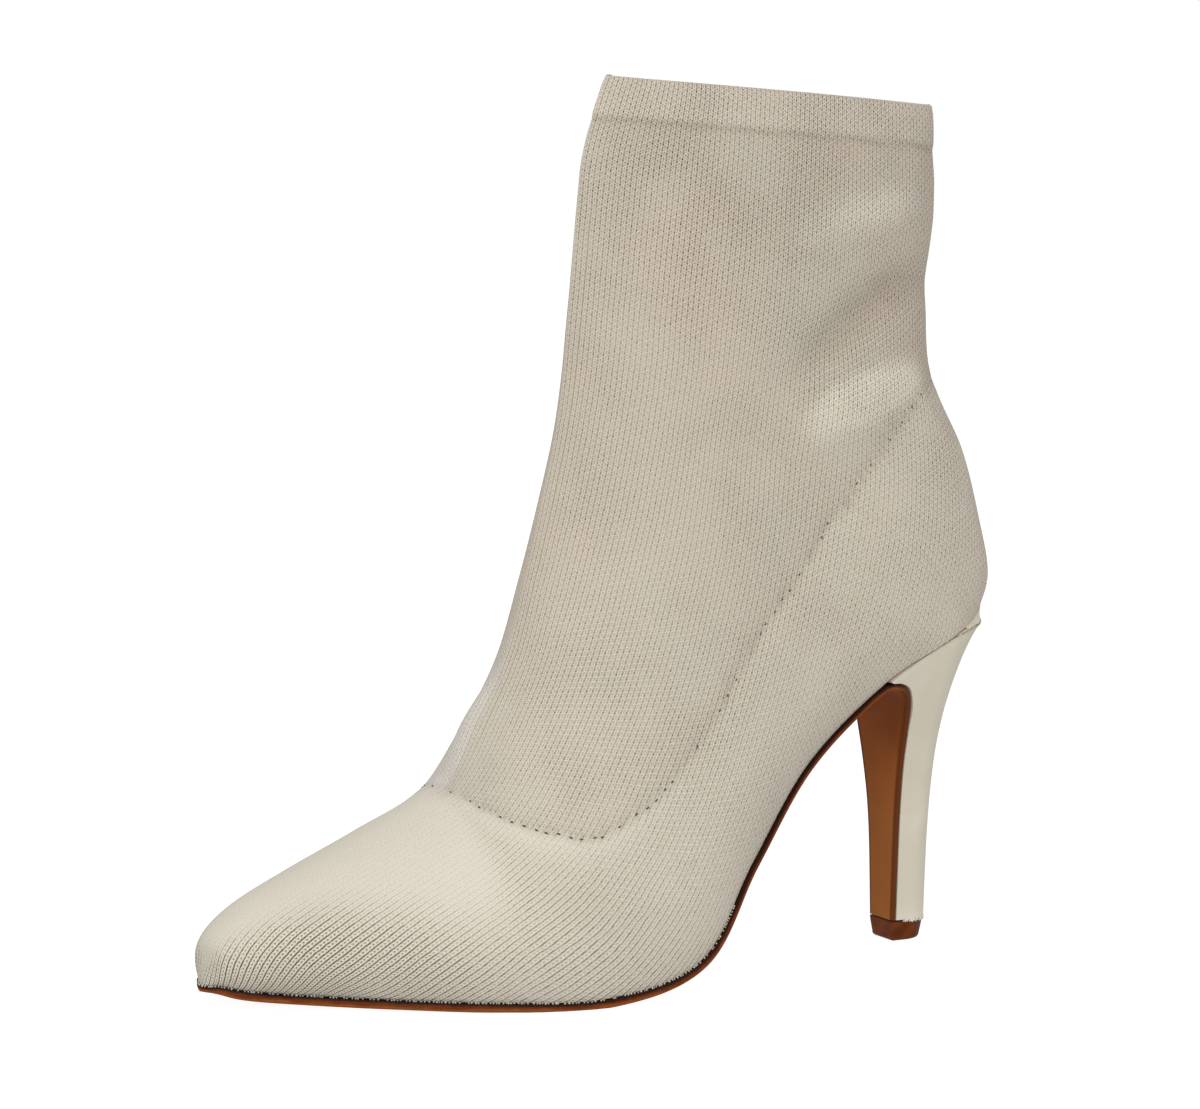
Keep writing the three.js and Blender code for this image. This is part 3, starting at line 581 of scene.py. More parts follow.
def outline(s, side, d, lift):
    """The feather outline, moved outwards by d and up by lift."""
    s = np.asarray(s, float)
    col = 0 if side == 0 else upper_q.shape[1] - 1
    p = skin(s, [0.0], side)[:, 0]
    n = np.stack([np.interp(s, rows_s, upper_n[:, col, k]) for k in range(3)], -1)
    _, up = sole_frame(s)
    n -= (n * up).sum(1)[:, None] * up
    n /= np.maximum(np.linalg.norm(n, axis=1)[:, None], 1e-9)
    return p + n * np.asarray(d)[..., None] + up * lift, n, up


# ------------------------------------------------------------------ outsole
FLAP = np.array([  # y z h of the face that lies against the heel
    [-39.8, 76.1, 18.3], [-37.0, 76.5, 17.9], [-34.3, 76.1, 17.3], [-31.8, 75.0, 16.4], [-29.8, 73.0, 15.3],
    [-28.6, 70.2, 14.1], [-28.0, 66.3, 12.9], [-27.6, 60.5, 11.4], [-27.1, 52.0, 9.4], [-26.4, 41.0, 7.6],
    [-25.9, 30.0, 6.6], [-25.5, 17.0, 6.0], [-25.2, 6.3, 5.6],
])


def make_outsole():
    s = np.concatenate([np.linspace(0.02, 1, 22), np.linspace(1, BEND_ROW - 0.05, 170)[1:]])
    toe, waist = smooth(s, 0, 3.5), smooth(s, 7.2, 9.2)
    thick = (SOLE_TIP + (SOLE_FORE - SOLE_TIP) * toe) * (1 - waist) + SOLE_WAIST * waist
    rand = TIP_RAND + (SOLE_RAND - TIP_RAND) * toe
    near, _, up = outline(s, 0, rand, -GAP)
    far, _, _ = outline(s, 1, rand, -GAP)
    k = np.linspace(0, len(FLAP) - 1, 90)
    f = through(FLAP, k)
    a, b = through(FLAP, k - 0.1), through(FLAP, k + 0.1)
    run = np.stack([np.zeros(len(k)), b[:, 1 - 1] - a[:, 0], b[:, 1] - a[:, 1]], -1)
    run[-1] = (0, 0, -1)
    run /= np.linalg.norm(run, axis=1)[:, None]
    near2 = np.stack([f[:, 2], f[:, 0], f[:, 1]], -1)
    far2 = near2 * (-1, 1, 1)
    up2 = np.stack([run[:, 0], -run[:, 2], run[:, 1]], -1)
    thick2 = SOLE_WAIST + (SOLE_FLAP - SOLE_WAIST) * np.minimum(k / 4, 1)
    near, far = np.concatenate([near, near2]), np.concatenate([far, far2])
    up, thick = np.concatenate([up, up2]), np.concatenate([thick, thick2])
    flap = np.concatenate([np.zeros(len(s)), smooth(k, 1.0, 4.0)])
    # profile of the edge: share of the thickness down from the top face, and how far it stands out or in
    profile = [(0.0, 0.0), (0.10, 0.13), (0.30, 0.20), (0.50, 0.18), (0.68, 0.08), (0.82, -0.10), (0.93, -0.32), (1.0, -0.62)]
    cross = np.linspace(0, 1, 13)[1:-1]
    width = np.linalg.norm(near - far, axis=1)
    scale = np.minimum(1, width / 6)
    out = (near - far) / np.maximum(width, 1e-6)[:, None]
    ring, edge, depth, across = [], [], [], []

    def add(p, e, d, x):
        ring.append(p), edge.append(np.full(len(p), e)), depth.append(np.full(len(p), d)), across.append(x)
    for h, o in profile:
        add(near + out * (o * scale)[:, None] - up * (thick * h)[:, None], 1.0 if h < 0.95 else 0.55, h, near[:, 0] + h * 2)
    lo_n = near + out * (-0.62 * scale)[:, None] - up * thick[:, None]
    lo_f = far - out * (-0.62 * scale)[:, None] - up * thick[:, None]
    for j, c in enumerate(cross):
        crown = -0.10 * math.sin(math.pi * c)   # the face swells a touch in the middle
        add(lo_n + (lo_f - lo_n) * c + up * (crown * flap_or(flap))[:, None], 0.12 if j in (0, len(cross) - 1) else 0.0, 1.0,
            (lo_n + (lo_f - lo_n) * c)[:, 0])
    for h, o in profile[::-1]:
        add(far - out * (o * scale)[:, None] - up * (thick * h)[:, None], 1.0 if h < 0.95 else 0.55, h, far[:, 0] - h * 2)
    for c in (0.25, 0.5, 0.75):                # top face, under the upper
        add(far + (near - far) * c, 0.9, -0.2, (far + (near - far) * c)[:, 0])
    ring = np.array(ring).transpose(1, 0, 2)
    ring[..., 2] = np.maximum(ring[..., 2], 0)
    rows, cols = ring.shape[:2]
    arc = np.concatenate([[0], np.cumsum(np.linalg.norm(np.diff((near + far) / 2, axis=0), axis=1))])
    faces = [tuple(q) for q in grid_faces(rows, cols, wrap=True)]
    faces += [tuple(range(cols))[::-1], tuple((rows - 1) * cols + i for i in range(cols))]
    uv = np.stack([np.repeat(arc, cols), np.array(across).T.ravel()], -1)
    global SOLE_LENGTH
    SOLE_LENGTH = float(arc[len(s) + 40])
    make_mesh("sole_leather", ring.reshape(-1, 3), faces, "outsole", {"sole": uv},
              {"edge": np.array(edge).T.ravel(), "depth": np.array(depth).T.ravel(), "flap": np.repeat(flap, cols),
               "along": np.repeat(arc, cols)}, weld=1e-6)


def flap_or(flap):
    return 1.0 - flap


make_outsole()

# ------------------------------------------------------------------ heel
HEEL = np.array([  # yF zF yK zK hF hM round follow
    [-24.9, 6.3, -12.5, 6.3, 5.7, 6.0, 0.62, 0.0], [-25.2, 18.0, -12.6, 18.0, 6.2, 6.4, 0.60, 0.0],
    [-25.6, 31.0, -12.7, 31.0, 6.8, 7.1, 0.58, 0.0], [-26.2, 43.0, -12.4, 44.0, 8.0, 8.2, 0.57, 0.0],
    [-26.9, 53.5, -11.8, 56.5, 9.9, 10.2, 0.56, 0.1], [-27.4, 62.5, -10.4, 67.0, 12.2, 12.4, 0.56, 0.2],
    [-27.9, 69.5, -8.7, 75.0, 14.3, 14.6, 0.55, 0.4], [-30.3, 74.7, -6.3, 81.0, 16.2, 16.2, 0.54, 0.7],
    [-34.1, 76.6, -3.6, 86.0, 17.6, 17.1, 0.51, 0.9], [-37.6, 76.9, -0.8, 90.4, 18.4, 17.7, 0.47, 1.0],
    [-38.3, 77.5, 1.2, 93.0, 18.5, 17.9, 0.45, 1.0],
])
TIP = np.array([[0.0, -25.2, -14.0, 4.5], [0.7, -25.6, -13.6, 4.8], [6.0, -26.4, -12.5, 5.5]])  # z yF yK h
SEAT = station(np.linspace(10, SEAT_ROW, 81))[0]


def seat_height(y):
    return np.interp(y, SEAT[:, 1], SEAT[:, 2])


def d_ring(yF, zF, yK, zK, hF, hM, rnd, follow, steps=(8, 24), corner=0.0):
    t = np.linspace(0, 1, steps[0] + 1)[:-1]
    half = [((1 - rnd) * q, hF + (hM - hF) * q) for q in t]
    if corner:
        half = [(q, x - corner * math.exp(-q * (yK - yF) / (corner * 0.8))) for q, x in half]
    for j in range(steps[1] + 1):
        a = j / steps[1] * math.pi / 2
        half.append((1 - rnd + rnd * math.sin(a), 0.0 if j == steps[1] else hM * math.cos(a)))
    ring = half + [(q, -x) for q, x in half[-2::-1]]
    ring = np.array(ring)
    y = yF + (yK - yF) * ring[:, 0]
    chord = seat_height(yF) + (seat_height(yK) - seat_height(yF)) * ring[:, 0]
    z = zF + (zK - zF) * ring[:, 0] + follow * (seat_height(y) - chord)
    return np.stack([ring[:, 1], y, z], -1)


def make_heel():
    k = np.concatenate([np.linspace(0, 5, 60), np.linspace(5, 10, 60)[1:]])
    rings = np.array([d_ring(*row) for row in through(HEEL, k)])
    rows, cols = rings.shape[:2]
    # the breast's flat side is closed by a strip across; it lies under the sole's flap
    arc = np.concatenate([[0], np.cumsum(np.linalg.norm(np.diff(rings[:, cols // 2], axis=0), axis=1))])
    girth = np.concatenate([np.zeros((rows, 1)), np.cumsum(np.linalg.norm(np.diff(rings, axis=1), axis=2), axis=1)], axis=1)
    girth -= girth[:, cols // 2][:, None]
    faces = [tuple(q) for q in grid_faces(rows, cols, wrap=True)]
    faces += ladder(cols, 0, True) + ladder(cols, (rows - 1) * cols)
    uv = np.stack([girth.ravel(), np.repeat(arc, cols)], -1)
    foot = np.exp(-(np.repeat(arc, cols) / 1.6) ** 2)
    # painted shade line along the cover's top edge, where the knit meets it
    top = np.exp(-((arc[-1] - np.repeat(arc, cols)) / 1.2) ** 2)
    # no shade at the back, where the turned edge covers it
    top *= 1 - np.exp(-(np.degrees(np.arctan2(rings[..., 0], rings[..., 1] + 18.0)).ravel() / 34.0) ** 2)
    make_mesh("heel_cover", rings.reshape(-1, 3), faces, "heel", {"cover": uv},
              {"foot": foot, "top": top}, weld=1e-6)
    return rings


heel_rings = make_heel()


def make_lip():
    """The cover's top edge at the back, drawn up a few millimetres over the knit."""
    pts = outer_grid(np.linspace(9.5, 15.5, 260), np.linspace(0, 0.8, 160)).reshape(-1, 3)
    pts = pts[(pts[:, 2] > 84) & (pts[:, 2] < 104)]
    turn = np.degrees(np.arctan2(pts[:, 0], pts[:, 1] + 18.0))
    radius = np.hypot(pts[:, 0], pts[:, 1] + 18.0)
    top = heel_rings[-1]
    ring_turn = np.degrees(np.arctan2(top[:, 0], top[:, 1] + 18.0))
    order = np.argsort(ring_turn)
    at = np.linspace(-62, 62, 63)
    z0 = np.interp(at, ring_turn[order], top[order, 2])
    r0 = np.interp(at, ring_turn[order], np.hypot(top[order, 0], top[order, 1] + 18.0))
    rise = 4.6 * np.exp(-(at / 27.0) ** 2)
    rise[[0, -1]] = 0

    def skin_radius(angle, z):
        w = np.exp(-((turn - angle) / 1.6) ** 2 - ((pts[:, 2] - z) / 0.7) ** 2)
        return (w * radius).sum() / max(w.sum(), 1e-12)
    lip_r = np.array([skin_radius(a, b) for a, b in zip(at, z0 + rise)]) + 0.24
    rows = [np.stack([(r0 - 0.02) * np.sin(np.radians(at)), (r0 - 0.02) * np.cos(np.radians(at)) - 18.0, z0 - 0.4], -1)]
    for k, out in ((0.12, 0.26), (0.3, 0.26), (0.55, 0.26), (0.8, 0.26), (0.95, 0.24), (1.0, 0.14), (1.0, -0.3)):
        z = z0 + rise * k
        r = np.array([skin_radius(a, b) for a, b in zip(at, z)]) + np.where(rise > 0.25, out, -0.2)
        if out > 0.2:
            r = np.where(rise > 0.25, np.maximum(r, r0 + (lip_r - r0) * k), r)
        rows.append(np.stack([r * np.sin(np.radians(at)), r * np.cos(np.radians(at)) - 18.0, z], -1))
    p = np.array(rows)
    uv = np.stack([np.tile(at * 0.3, len(rows)), np.repeat(np.arange(len(rows)) * 0.7 + 120, len(at))], -1)
    # the lip's upper rows carry the same painted shade line where the lip meets the knit
    make_mesh("cover_lip", p.reshape(-1, 3), grid_faces(len(rows), len(at)), "heel", {"cover": uv},
              {"foot": np.zeros(p.shape[0] * p.shape[1]), "top": np.repeat(np.array([0, 0, 0, 0, 0, 0.3, 1, 1.0]), len(at))})


make_lip()


def make_tip():
    z = np.array([0.0, 0.12, 0.35, 0.7, 1.5, 3.0, 4.5, 5.6, 5.85, 6.0])
    rows = np.array([[np.interp(q, TIP[:, 0], TIP[:, i]) for i in (1, 2, 3)] for q in z])
    inset = np.array([0.45, 0.22, 0.06, 0, 0, 0, 0, 0.02, 0.10, 0.25])
    rings = np.array([d_ring(a + i, q, b - i, q, h - i, h - i, 0.62, 0.0, (8, 20)) for (a, b, h), q, i in zip(rows, z, inset)])
    n, cols = rings.shape[:2]
    faces = [tuple(q) for q in grid_faces(n, cols, wrap=True)]
    faces += [tuple(range(cols))[::-1], tuple((n - 1) * cols + i for i in range(cols))]
    uv = np.stack([np.tile(np.arange(cols) * 0.6, n), np.repeat(z, cols)], -1)
    make_mesh("heel_tip", rings.reshape(-1, 3), faces, "top_piece", {"tip": uv},
              {"height": np.repeat(z / 6, cols)}, weld=1e-6)


make_tip()


# ------------------------------------------------------------------ insole
def make_insole():
    s = np.linspace(0.6, SEAT_ROW - 0.02, 150)
    d = -(WALL + INSOLE_CLEAR)
    near, _, up = outline(s, 0, np.full(len(s), d), 0.1)
    far, _, _ = outline(s, 1, np.full(len(s), d), 0.1)
    wide = (near[:, 0] - far[:, 0]) > INSOLE_END
    near, far, up = near[wide], far[wide], up[wide]
    ring = []
    cross = np.linspace(0, 1, 15)
    for c in cross:
        ring.append(near + (far - near) * c + up * (INSOLE_THICK - 0.25 * (2 * c - 1) ** 6))
    for c in cross[::-1]:
        ring.append(near + (far - near) * c)
    ring = np.array(ring).transpose(1, 0, 2)
    rows, cols = ring.shape[:2]
    faces = [tuple(q) for q in grid_faces(rows, cols, wrap=True)]
    faces += [tuple(range(cols))[::-1], tuple((rows - 1) * cols + i for i in range(cols))]
    arc = np.concatenate([[0], np.cumsum(np.linalg.norm(np.diff((near + far) / 2, axis=0), axis=1))])
    uv = np.stack([np.repeat(arc, cols), ring[..., 0].ravel()], -1)
    make_mesh("insole_sock", ring.reshape(-1, 3), faces, "insole", {"board": uv}, {}, weld=1e-6)


make_insole()


# ------------------------------------------------------------------ small things, joined
def blob(centre, axes, sizes, rings=4, sides=7):
    """A small closed ellipsoid: its axes as rows and its half sizes."""
    pts, faces = [np.array([0, 0, 1.0])], []
    for i in range(1, rings):
        a = math.pi * i / rings
        for j in range(sides):
            b = 2 * math.pi * j / sides
            pts.append([math.sin(a) * math.cos(b), math.sin(a) * math.sin(b), math.cos(a)])
    pts.append([0, 0, -1.0])
    pts = np.array(pts) * np.asarray(sizes)
    for j in range(sides):
        k = (j + 1) % sides
        faces.append((0, 1 + j, 1 + k))
        for i in range(rings - 2):
            m = 1 + i * sides
            faces.append((m + j, m + sides + j, m + sides + k, m + k))
        m = 1 + (rings - 2) * sides
        faces.append((m + j, len(pts) - 1, m + k))
    return centre + pts @ np.asarray(axes), faces


def join(name, blobs, attrs_value=None, attr_name="tuft"):
    pts, faces, value, base = [], [], [], 0
    for i, (p, f) in enumerate(blobs):
        pts.append(p)
        faces += [tuple(a + base for a in q) for q in f]
        value.append(np.full(len(p), 0.0 if attrs_value is None else attrs_value[i]))
        base += len(p)
    pts = np.concatenate(pts)
    uv = np.stack([pts[:, 1] + pts[:, 0], pts[:, 2]], -1)
    return make_mesh(name, pts, faces, None, {"knit": uv}, {attr_name: np.concatenate(value)})


def at_skin(s, v, side):
    """Point, outward normal and the direction along, on the finished outer skin."""
    i = int(np.clip(np.searchsorted(rows_s, s), 1, len(rows_s) - 2))
    j = int(round(v * 99))
    j = j if side == 0 else upper_q.shape[1] - 1 - j
    j0, j1 = max(j - 1, 0), min(j + 1, upper_q.shape[1] - 1)
    t = (s - rows_s[i - 1]) / (rows_s[i] - rows_s[i - 1])
    p = upper_q[i - 1, j] * (1 - t) + upper_q[i, j] * t
    ds = upper_q[i + 1, j] - upper_q[i - 1, j]
    dv = upper_q[i, j1] - upper_q[i, j0]
    nrm = np.cross(dv, ds)
    nrm /= np.linalg.norm(nrm)
    if nrm @ upper_n[i, j] < 0:
        nrm = -nrm
    return p, nrm, ds / np.linalg.norm(ds)


def make_stitches():
    holes, tufts = [], []
    for side in (0, 1):
        rows, line = seam_line(side, 800)
        for k in range(1, len(SEAM) - 1):
            s, v = SEAM[k]
            m = int(round(k / (len(SEAM) - 1) * 799))
            t = line[min(m + 4, 799)] - line[max(m - 4, 0)]
            t /= np.linalg.norm(t)
            p, nrm, _ = at_skin(s, v, side)
            p = line[m] + nrm * ((p - line[m]) @ nrm)
            b = np.cross(nrm, t)
            long = (0.50 + 0.16 * rng.random()) * (1.15 if 4 <= k <= 20 else 0.95)
            tilt = 0.35 * (rng.random() - 0.5)
            t2 = t * math.cos(tilt) + b * math.sin(tilt)
            b2 = np.cross(nrm, t2)
            holes.append(blob(p + nrm * 0.08, [t2, b2, nrm], [long * 0.86, 0.20 + 0.07 * rng.random(), 0.18]))
            if rng.random() < 0.6:
                c = p + t * (0.8 + 0.3 * rng.random()) + b * 0.35 * (rng.random() - 0.3)
                tufts.append(blob(c + nrm * 0.06, [t2, b2, nrm], [0.40 + 0.2 * rng.random(), 0.15, 0.16]))
    join("tack_stitches", holes)
    join("tack_fuzz", tufts)


make_stitches()


def make_teeth():
    """Knit ends that the sole's edge traps, along the feather line, with gaps between them."""
    teeth = []
    for side in (0, 1):
        s = np.linspace(0.05, 8.6, 2400)
        rail, n, up = outline(s, side, np.full(len(s), 0.16), -0.05)
        arc = np.concatenate([[0], np.cumsum(np.linalg.norm(np.diff(rail, axis=0), axis=1))])
        at = 0.6
        while at < arc[-1]:
            k = int(np.searchsorted(arc, at))
            t = rail[min(k + 3, len(s) - 1)] - rail[max(k - 3, 0)]
            t /= np.linalg.norm(t)
            lean = 1.1 * (rng.random() - 0.5)
            axis = up[k] * math.cos(lean) + t * math.sin(lean)
            b = np.cross(n[k], axis)
            long = 0.22 + 0.22 * rng.random() ** 2
            drop = 0.02 + 0.14 * rng.random()
            if rng.random() < 0.85:
                teeth.append(blob(rail[k] - up[k] * drop + n[k] * (0.02 + 0.06 * rng.random()), [axis, b, n[k]],
                                  [long, 0.20 + 0.16 * rng.random(), 0.20], 4, 6))
            at += 0.55 + 0.65 * rng.random()
    join("knit_ends", teeth)


make_teeth()


def make_frays():
    """Frayed lower edge of the heel's cover, and fibres at the seat line."""
    low = []
    ring = heel_rings[0]
    up = np.array([0, 0, 1.0])
    for j in range(4, len(ring) - 4):
        for _ in range(2):
            q = ring[j] + (ring[j + 1] - ring[j]) * rng.random()
            n = np.array([q[0], (q[1] + 18.5) * 0.9, 0])
            n /= np.linalg.norm(n)
            lean = 0.9 * (rng.random() - 0.5)
            side = np.cross(up, n)
            axis = up * math.cos(lean) + side * math.sin(lean)
            low.append(blob(q + n * 0.05 - up * (0.05 + 0.35 * rng.random()), [axis, np.cross(n, axis), n],
                            [0.30 + 0.40 * rng.random(), 0.13 + 0.08 * rng.random(), 0.12], 4, 6))
    join("cover_frays", low)
    seat = []
    top = heel_rings[-1]
    for j in range(2, len(top) - 2):
        q0, q1 = top[j], top[j + 1] if j + 1 < len(top) else top[j]
        for _ in range(3):
            q = q0 + (q1 - q0) * rng.random()
            n = np.array([q[0], (q[1] + 18) * 0.8, 0])
            n /= np.linalg.norm(n)
            t = (q1 - q0) / max(np.linalg.norm(q1 - q0), 1e-6)
            lean = 0.8 * (rng.random() - 0.5)
            axis = t * math.cos(lean) + up * math.sin(lean)
            b = np.cross(n, axis)
            b /= np.linalg.norm(b)
            seat.append(blob(q - n * (0.25 + 0.2 * rng.random()) - up * (0.15 - 0.3 * rng.random()), [axis, b, np.cross(axis, b)],
                             [0.30 + 0.45 * rng.random(), 0.12, 0.10], 4, 5))
    join("seat_frays", seat)


make_frays()


# ------------------------------------------------------------------ materials
def srgb(r, g, b):
    def lin(c):
        c /= 255
        return c / 12.92 if c <= 0.04045 else ((c + 0.055) / 1.055) ** 2.4
    return (lin(r), lin(g), lin(b), 1.0)


class Paint:
    """A material and short names for the nodes it is made of."""

    def __init__(self, name):
        self.mat = bpy.data.materials.new(name)
        self.mat.use_nodes = True
        self.tree = self.mat.node_tree
        self.tree.nodes.clear()
        self.out = self.tree.nodes.new("ShaderNodeOutputMaterial")
        self.bsdf = self.tree.nodes.new("ShaderNodeBsdfPrincipled")
        self.tree.links.new(self.bsdf.outputs[0], self.out.inputs[0])

    def set(self, **sockets):
        for key, value in sockets.items():
            socket = self.bsdf.inputs[key.replace("_", " ")]
            self.feed(socket, value)
        return self

    def feed(self, socket, value):
        if hasattr(value, "is_output"):
            self.tree.links.new(value, socket)
        elif value is not None:
            socket.default_value = value

    def m(self, op, a, b=None, c=None, clamp=False):
        node = self.tree.nodes.new("ShaderNodeMath")
        node.operation = op
        node.use_clamp = clamp
        for socket, value in zip(node.inputs, (a, b, c)):
            self.feed(socket, value)
        return node.outputs[0]

    def attr(self, name):
        node = self.tree.nodes.new("ShaderNodeAttribute")
        node.attribute_name = name
        return node.outputs["Fac"]

    def uv(self, name):
        node = self.tree.nodes.new("ShaderNodeUVMap")
        node.uv_map = name
        return node.outputs[0]

    def xyz(self, vector):
        node = self.tree.nodes.new("ShaderNodeSeparateXYZ")
        self.feed(node.inputs[0], vector)
        return node.outputs

    def join(self, x, y, z=0.0):
        node = self.tree.nodes.new("ShaderNodeCombineXYZ")
        for socket, value in zip(node.inputs, (x, y, z)):
            self.feed(socket, value)
        return node.outputs[0]

    def place(self):
        node = self.tree.nodes.new("ShaderNodeTexCoord")
        return node.outputs["Object"]

    def noise(self, vector, scale, detail=3.0, rough=0.5, distortion=0.0):
        node = self.tree.nodes.new("ShaderNodeTexNoise")
        self.feed(node.inputs["Vector"], vector)
        node.inputs["Scale"].default_value = scale
        node.inputs["Detail"].default_value = detail
        node.inputs["Roughness"].default_value = rough
        node.inputs["Distortion"].default_value = distortion
        return node.outputs[0]

    def ramp(self, fac, *stops):
        node = self.tree.nodes.new("ShaderNodeMapRange")
        node.interpolation_type = "SMOOTHSTEP"
        node.clamp = True
        self.feed(node.inputs[0], fac)
        for socket, value in zip(list(node.inputs)[1:5], stops):
            socket.default_value = value
        return node.outputs[0]

    def mix(self, fac, a, b, how="MIX"):
        node = self.tree.nodes.new("ShaderNodeMix")
        node.data_type = "RGBA"
        node.blend_type = how
        self.feed(node.inputs[0], fac)
        self.feed(node.inputs[6], a)
        self.feed(node.inputs[7], b)
        return node.outputs[2]

    def blend(self, fac, a, b):
        node = self.tree.nodes.new("ShaderNodeMix")
        node.data_type = "FLOAT"
        self.feed(node.inputs[0], fac)
        self.feed(node.inputs[2], a)
        self.feed(node.inputs[3], b)
        return node.outputs[0]

    def bump(self, height, strength, distance):
        node = self.tree.nodes.new("ShaderNodeBump")
        node.inputs["Strength"].default_value = strength
        node.inputs["Distance"].default_value = distance
        self.feed(node.inputs["Height"], height)
        return node.outputs[0]


PINK = srgb(219, 206, 189)
GREEN = srgb(216, 207, 190)
VAMP = srgb(226, 219, 203)
DARK = srgb(98, 82, 60)


def knit_paint():
    k = Paint("knit")
    u, w, _ = k.xyz(k.uv("knit"))
    turn = 2 * math.pi
    # a little wander, so that no column or row is ruler-straight
    wander = k.noise(k.uv("knit"), 0.22, 2)
    u = k.m("ADD", u, k.m("MULTIPLY", k.m("SUBTRACT", wander, 0.5), 0.22))
    u = k.m("ADD", u, k.m("MULTIPLY", k.m("SUBTRACT", k.noise(k.uv("knit"), 1.1, 2), 0.5), 0.20))
    w = k.m("ADD", w, k.m("MULTIPLY", k.m("SUBTRACT", k.noise(k.uv("knit"), 0.31, 2), 0.5), 0.45))
    rib, pale, hem = k.attr("rib"), k.attr("pale"), k.attr("hem")
    # 0 in the middle of a column, 0.5 at the groove between two
    a = k.m("ABSOLUTE", k.m("SUBTRACT", k.m("FRACT", u), 0.5))
    line = k.ramp(a, 0.32, 0.5, 0.0, 1.0)
    rib_line = k.ramp(a, 0.35, 0.5, 0.0, 1.0)
    middle = k.ramp(a, 0.0, 0.17, 1.0, 0.0)
    # rows: loops meet at every second height in neighbouring grooves
    other = k.m("MULTIPLY", k.m("FRACT", k.m("MULTIPLY", k.m("FLOOR", k.m("ADD", u, 0.5)), 0.5)), 2.0)
    knot = k.m("MULTIPLY_ADD", k.m("COSINE", k.m("MULTIPLY", k.m("ADD", w, k.m("MULTIPLY", other, 0.5)), turn)), 0.5, 0.5)
    parity = k.m("MULTIPLY", k.m("FRACT", k.m("MULTIPLY", k.m("FLOOR", u), 0.5)), 2.0)
    eye = k.m("MULTIPLY_ADD", k.m("COSINE", k.m("MULTIPLY", k.m("ADD", w, k.m("MULTIPLY", parity, 0.5)), turn)), 0.5, 0.5)
    loop = k.m("MULTIPLY_ADD", k.m("COSINE", k.m("MULTIPLY", k.m("ADD", k.m("MULTIPLY", w, 2.0), k.m("MULTIPLY", a, 1.6)), turn)), 0.5, 0.5)
    rows = k.m("MULTIPLY_ADD", k.m("COSINE", k.m("MULTIPLY", k.m("ADD", w, k.m("MULTIPLY", a, 1.1)), turn)), 0.5, 0.5)
    grain = k.noise(k.uv("knit"), 2.6, 4, 0.75)
    broken = k.ramp(k.noise(k.join(u, k.m("MULTIPLY", w, 0.55)), 1.0, 3, 0.7), 0.36, 0.62, 0.45, 1.15)
    fine = k.m("MULTIPLY_ADD", k.m("COSINE", k.m("MULTIPLY", w, 2 * turn)), 0.5, 0.5)
    groove = k.m("MULTIPLY_ADD", fine, 0.22, k.m("MULTIPLY_ADD", knot, 0.56, 0.10))
    dark_a = k.m("ADD", k.m("MULTIPLY", k.m("MULTIPLY", line, groove), broken),
                 k.m("ADD", k.m("MULTIPLY", k.m("MULTIPLY", middle, k.m("SUBTRACT", 1.0, eye)), 0.46),
                     k.m("MULTIPLY", k.m("SUBTRACT", 1.0, loop), 0.30)))
    dark_b = k.m("ADD", k.m("MULTIPLY", k.m("MULTIPLY", rib_line, k.m("MULTIPLY_ADD", rows, 0.30, 0.80)), broken),
                 k.m("ADD", k.m("MULTIPLY", k.m("MULTIPLY", middle, k.m("SUBTRACT", 1.0, rows)), 0.50),
                     k.m("MULTIPLY", k.m("SUBTRACT", 1.0, rows), 0.10)))
    dark = k.blend(rib, dark_a, dark_b)
    high = k.m("SUBTRACT", 1.0, k.m("ADD", k.m("MULTIPLY", line, 0.75), k.m("MULTIPLY", k.m("SUBTRACT", 1.0, k.blend(rib, loop, rows)), 0.40)))
    # patches where the stitches show more or less
    patch = k.ramp(k.noise(k.place(), 38, 3), 0.30, 0.70, 0.80, 1.10)
    strength = k.m("MULTIPLY", patch, k.m("SUBTRACT", 1.0, k.m("MULTIPLY", pale, 0.74)))
    amount = k.m("MULTIPLY", k.m("MULTIPLY", dark, strength), k.blend(rib, k.blend(k.attr("calm"), 1.20, 0.84), k.blend(k.attr("crisp"), 0.92, 1.85)))
    amount = k.m("ADD", amount, k.m("MULTIPLY", k.m("SUBTRACT", grain, 0.5), 0.60), clamp=True)
    tone = k.ramp(k.noise(k.place(), 26, 3, 0.55, 0.4), 0.36, 0.64, 0.0, 1.0)
    base = k.mix(tone, PINK, GREEN)
    base = k.mix(k.m("MULTIPLY", k.attr("foot"), 0.74), base, srgb(231, 224, 206))
    base = k.mix(k.m("MULTIPLY", k.attr("rear"), 0.70), base, srgb(230, 221, 203))
    base = k.mix(k.m("MULTIPLY", hem, 0.35), base, srgb(240, 231, 214))
    base = k.mix(pale, base, VAMP)
    # painted light on the far side of the throat
    base = k.mix(k.m("MULTIPLY", k.attr("far"), 0.75), base, srgb(238, 231, 222))
    # painted shade in the fold troughs and painted light on the ridges beside them
    base = k.mix(k.ramp(k.attr("trough"), 0.3, 2.2, 0.0, 0.17), base, srgb(132, 108, 84))
    base = k.mix(k.ramp(k.attr("trough"), -0.1, -1.2, 0.0, 0.95), base, srgb(244, 236, 218))
    base = k.mix(k.m("MULTIPLY", k.attr("edge"), 0.45), base, srgb(203, 202, 194))
    base = k.mix(k.m("MULTIPLY", k.attr("hemline"), 0.40), base, srgb(166, 144, 126))
    base = k.mix(k.m("MULTIPLY", k.attr("seam"), 0.16), base, DARK)
    base = k.mix(k.m("MULTIPLY", k.attr("shade"), 0.06), base, DARK)
    colour = k.mix(amount, base, DARK)
    # the front column where the knit turns to the far side, a little tanned
    thread = k.ramp(k.m("ABSOLUTE", k.m("SUBTRACT", k.m("ABSOLUTE", u), 3.0)), 0.05, 0.24, 1.0, 0.0)
    colour = k.mix(k.m("MULTIPLY", k.m("MULTIPLY", thread, k.attr("front")), 0.55), colour, srgb(186, 158, 120))
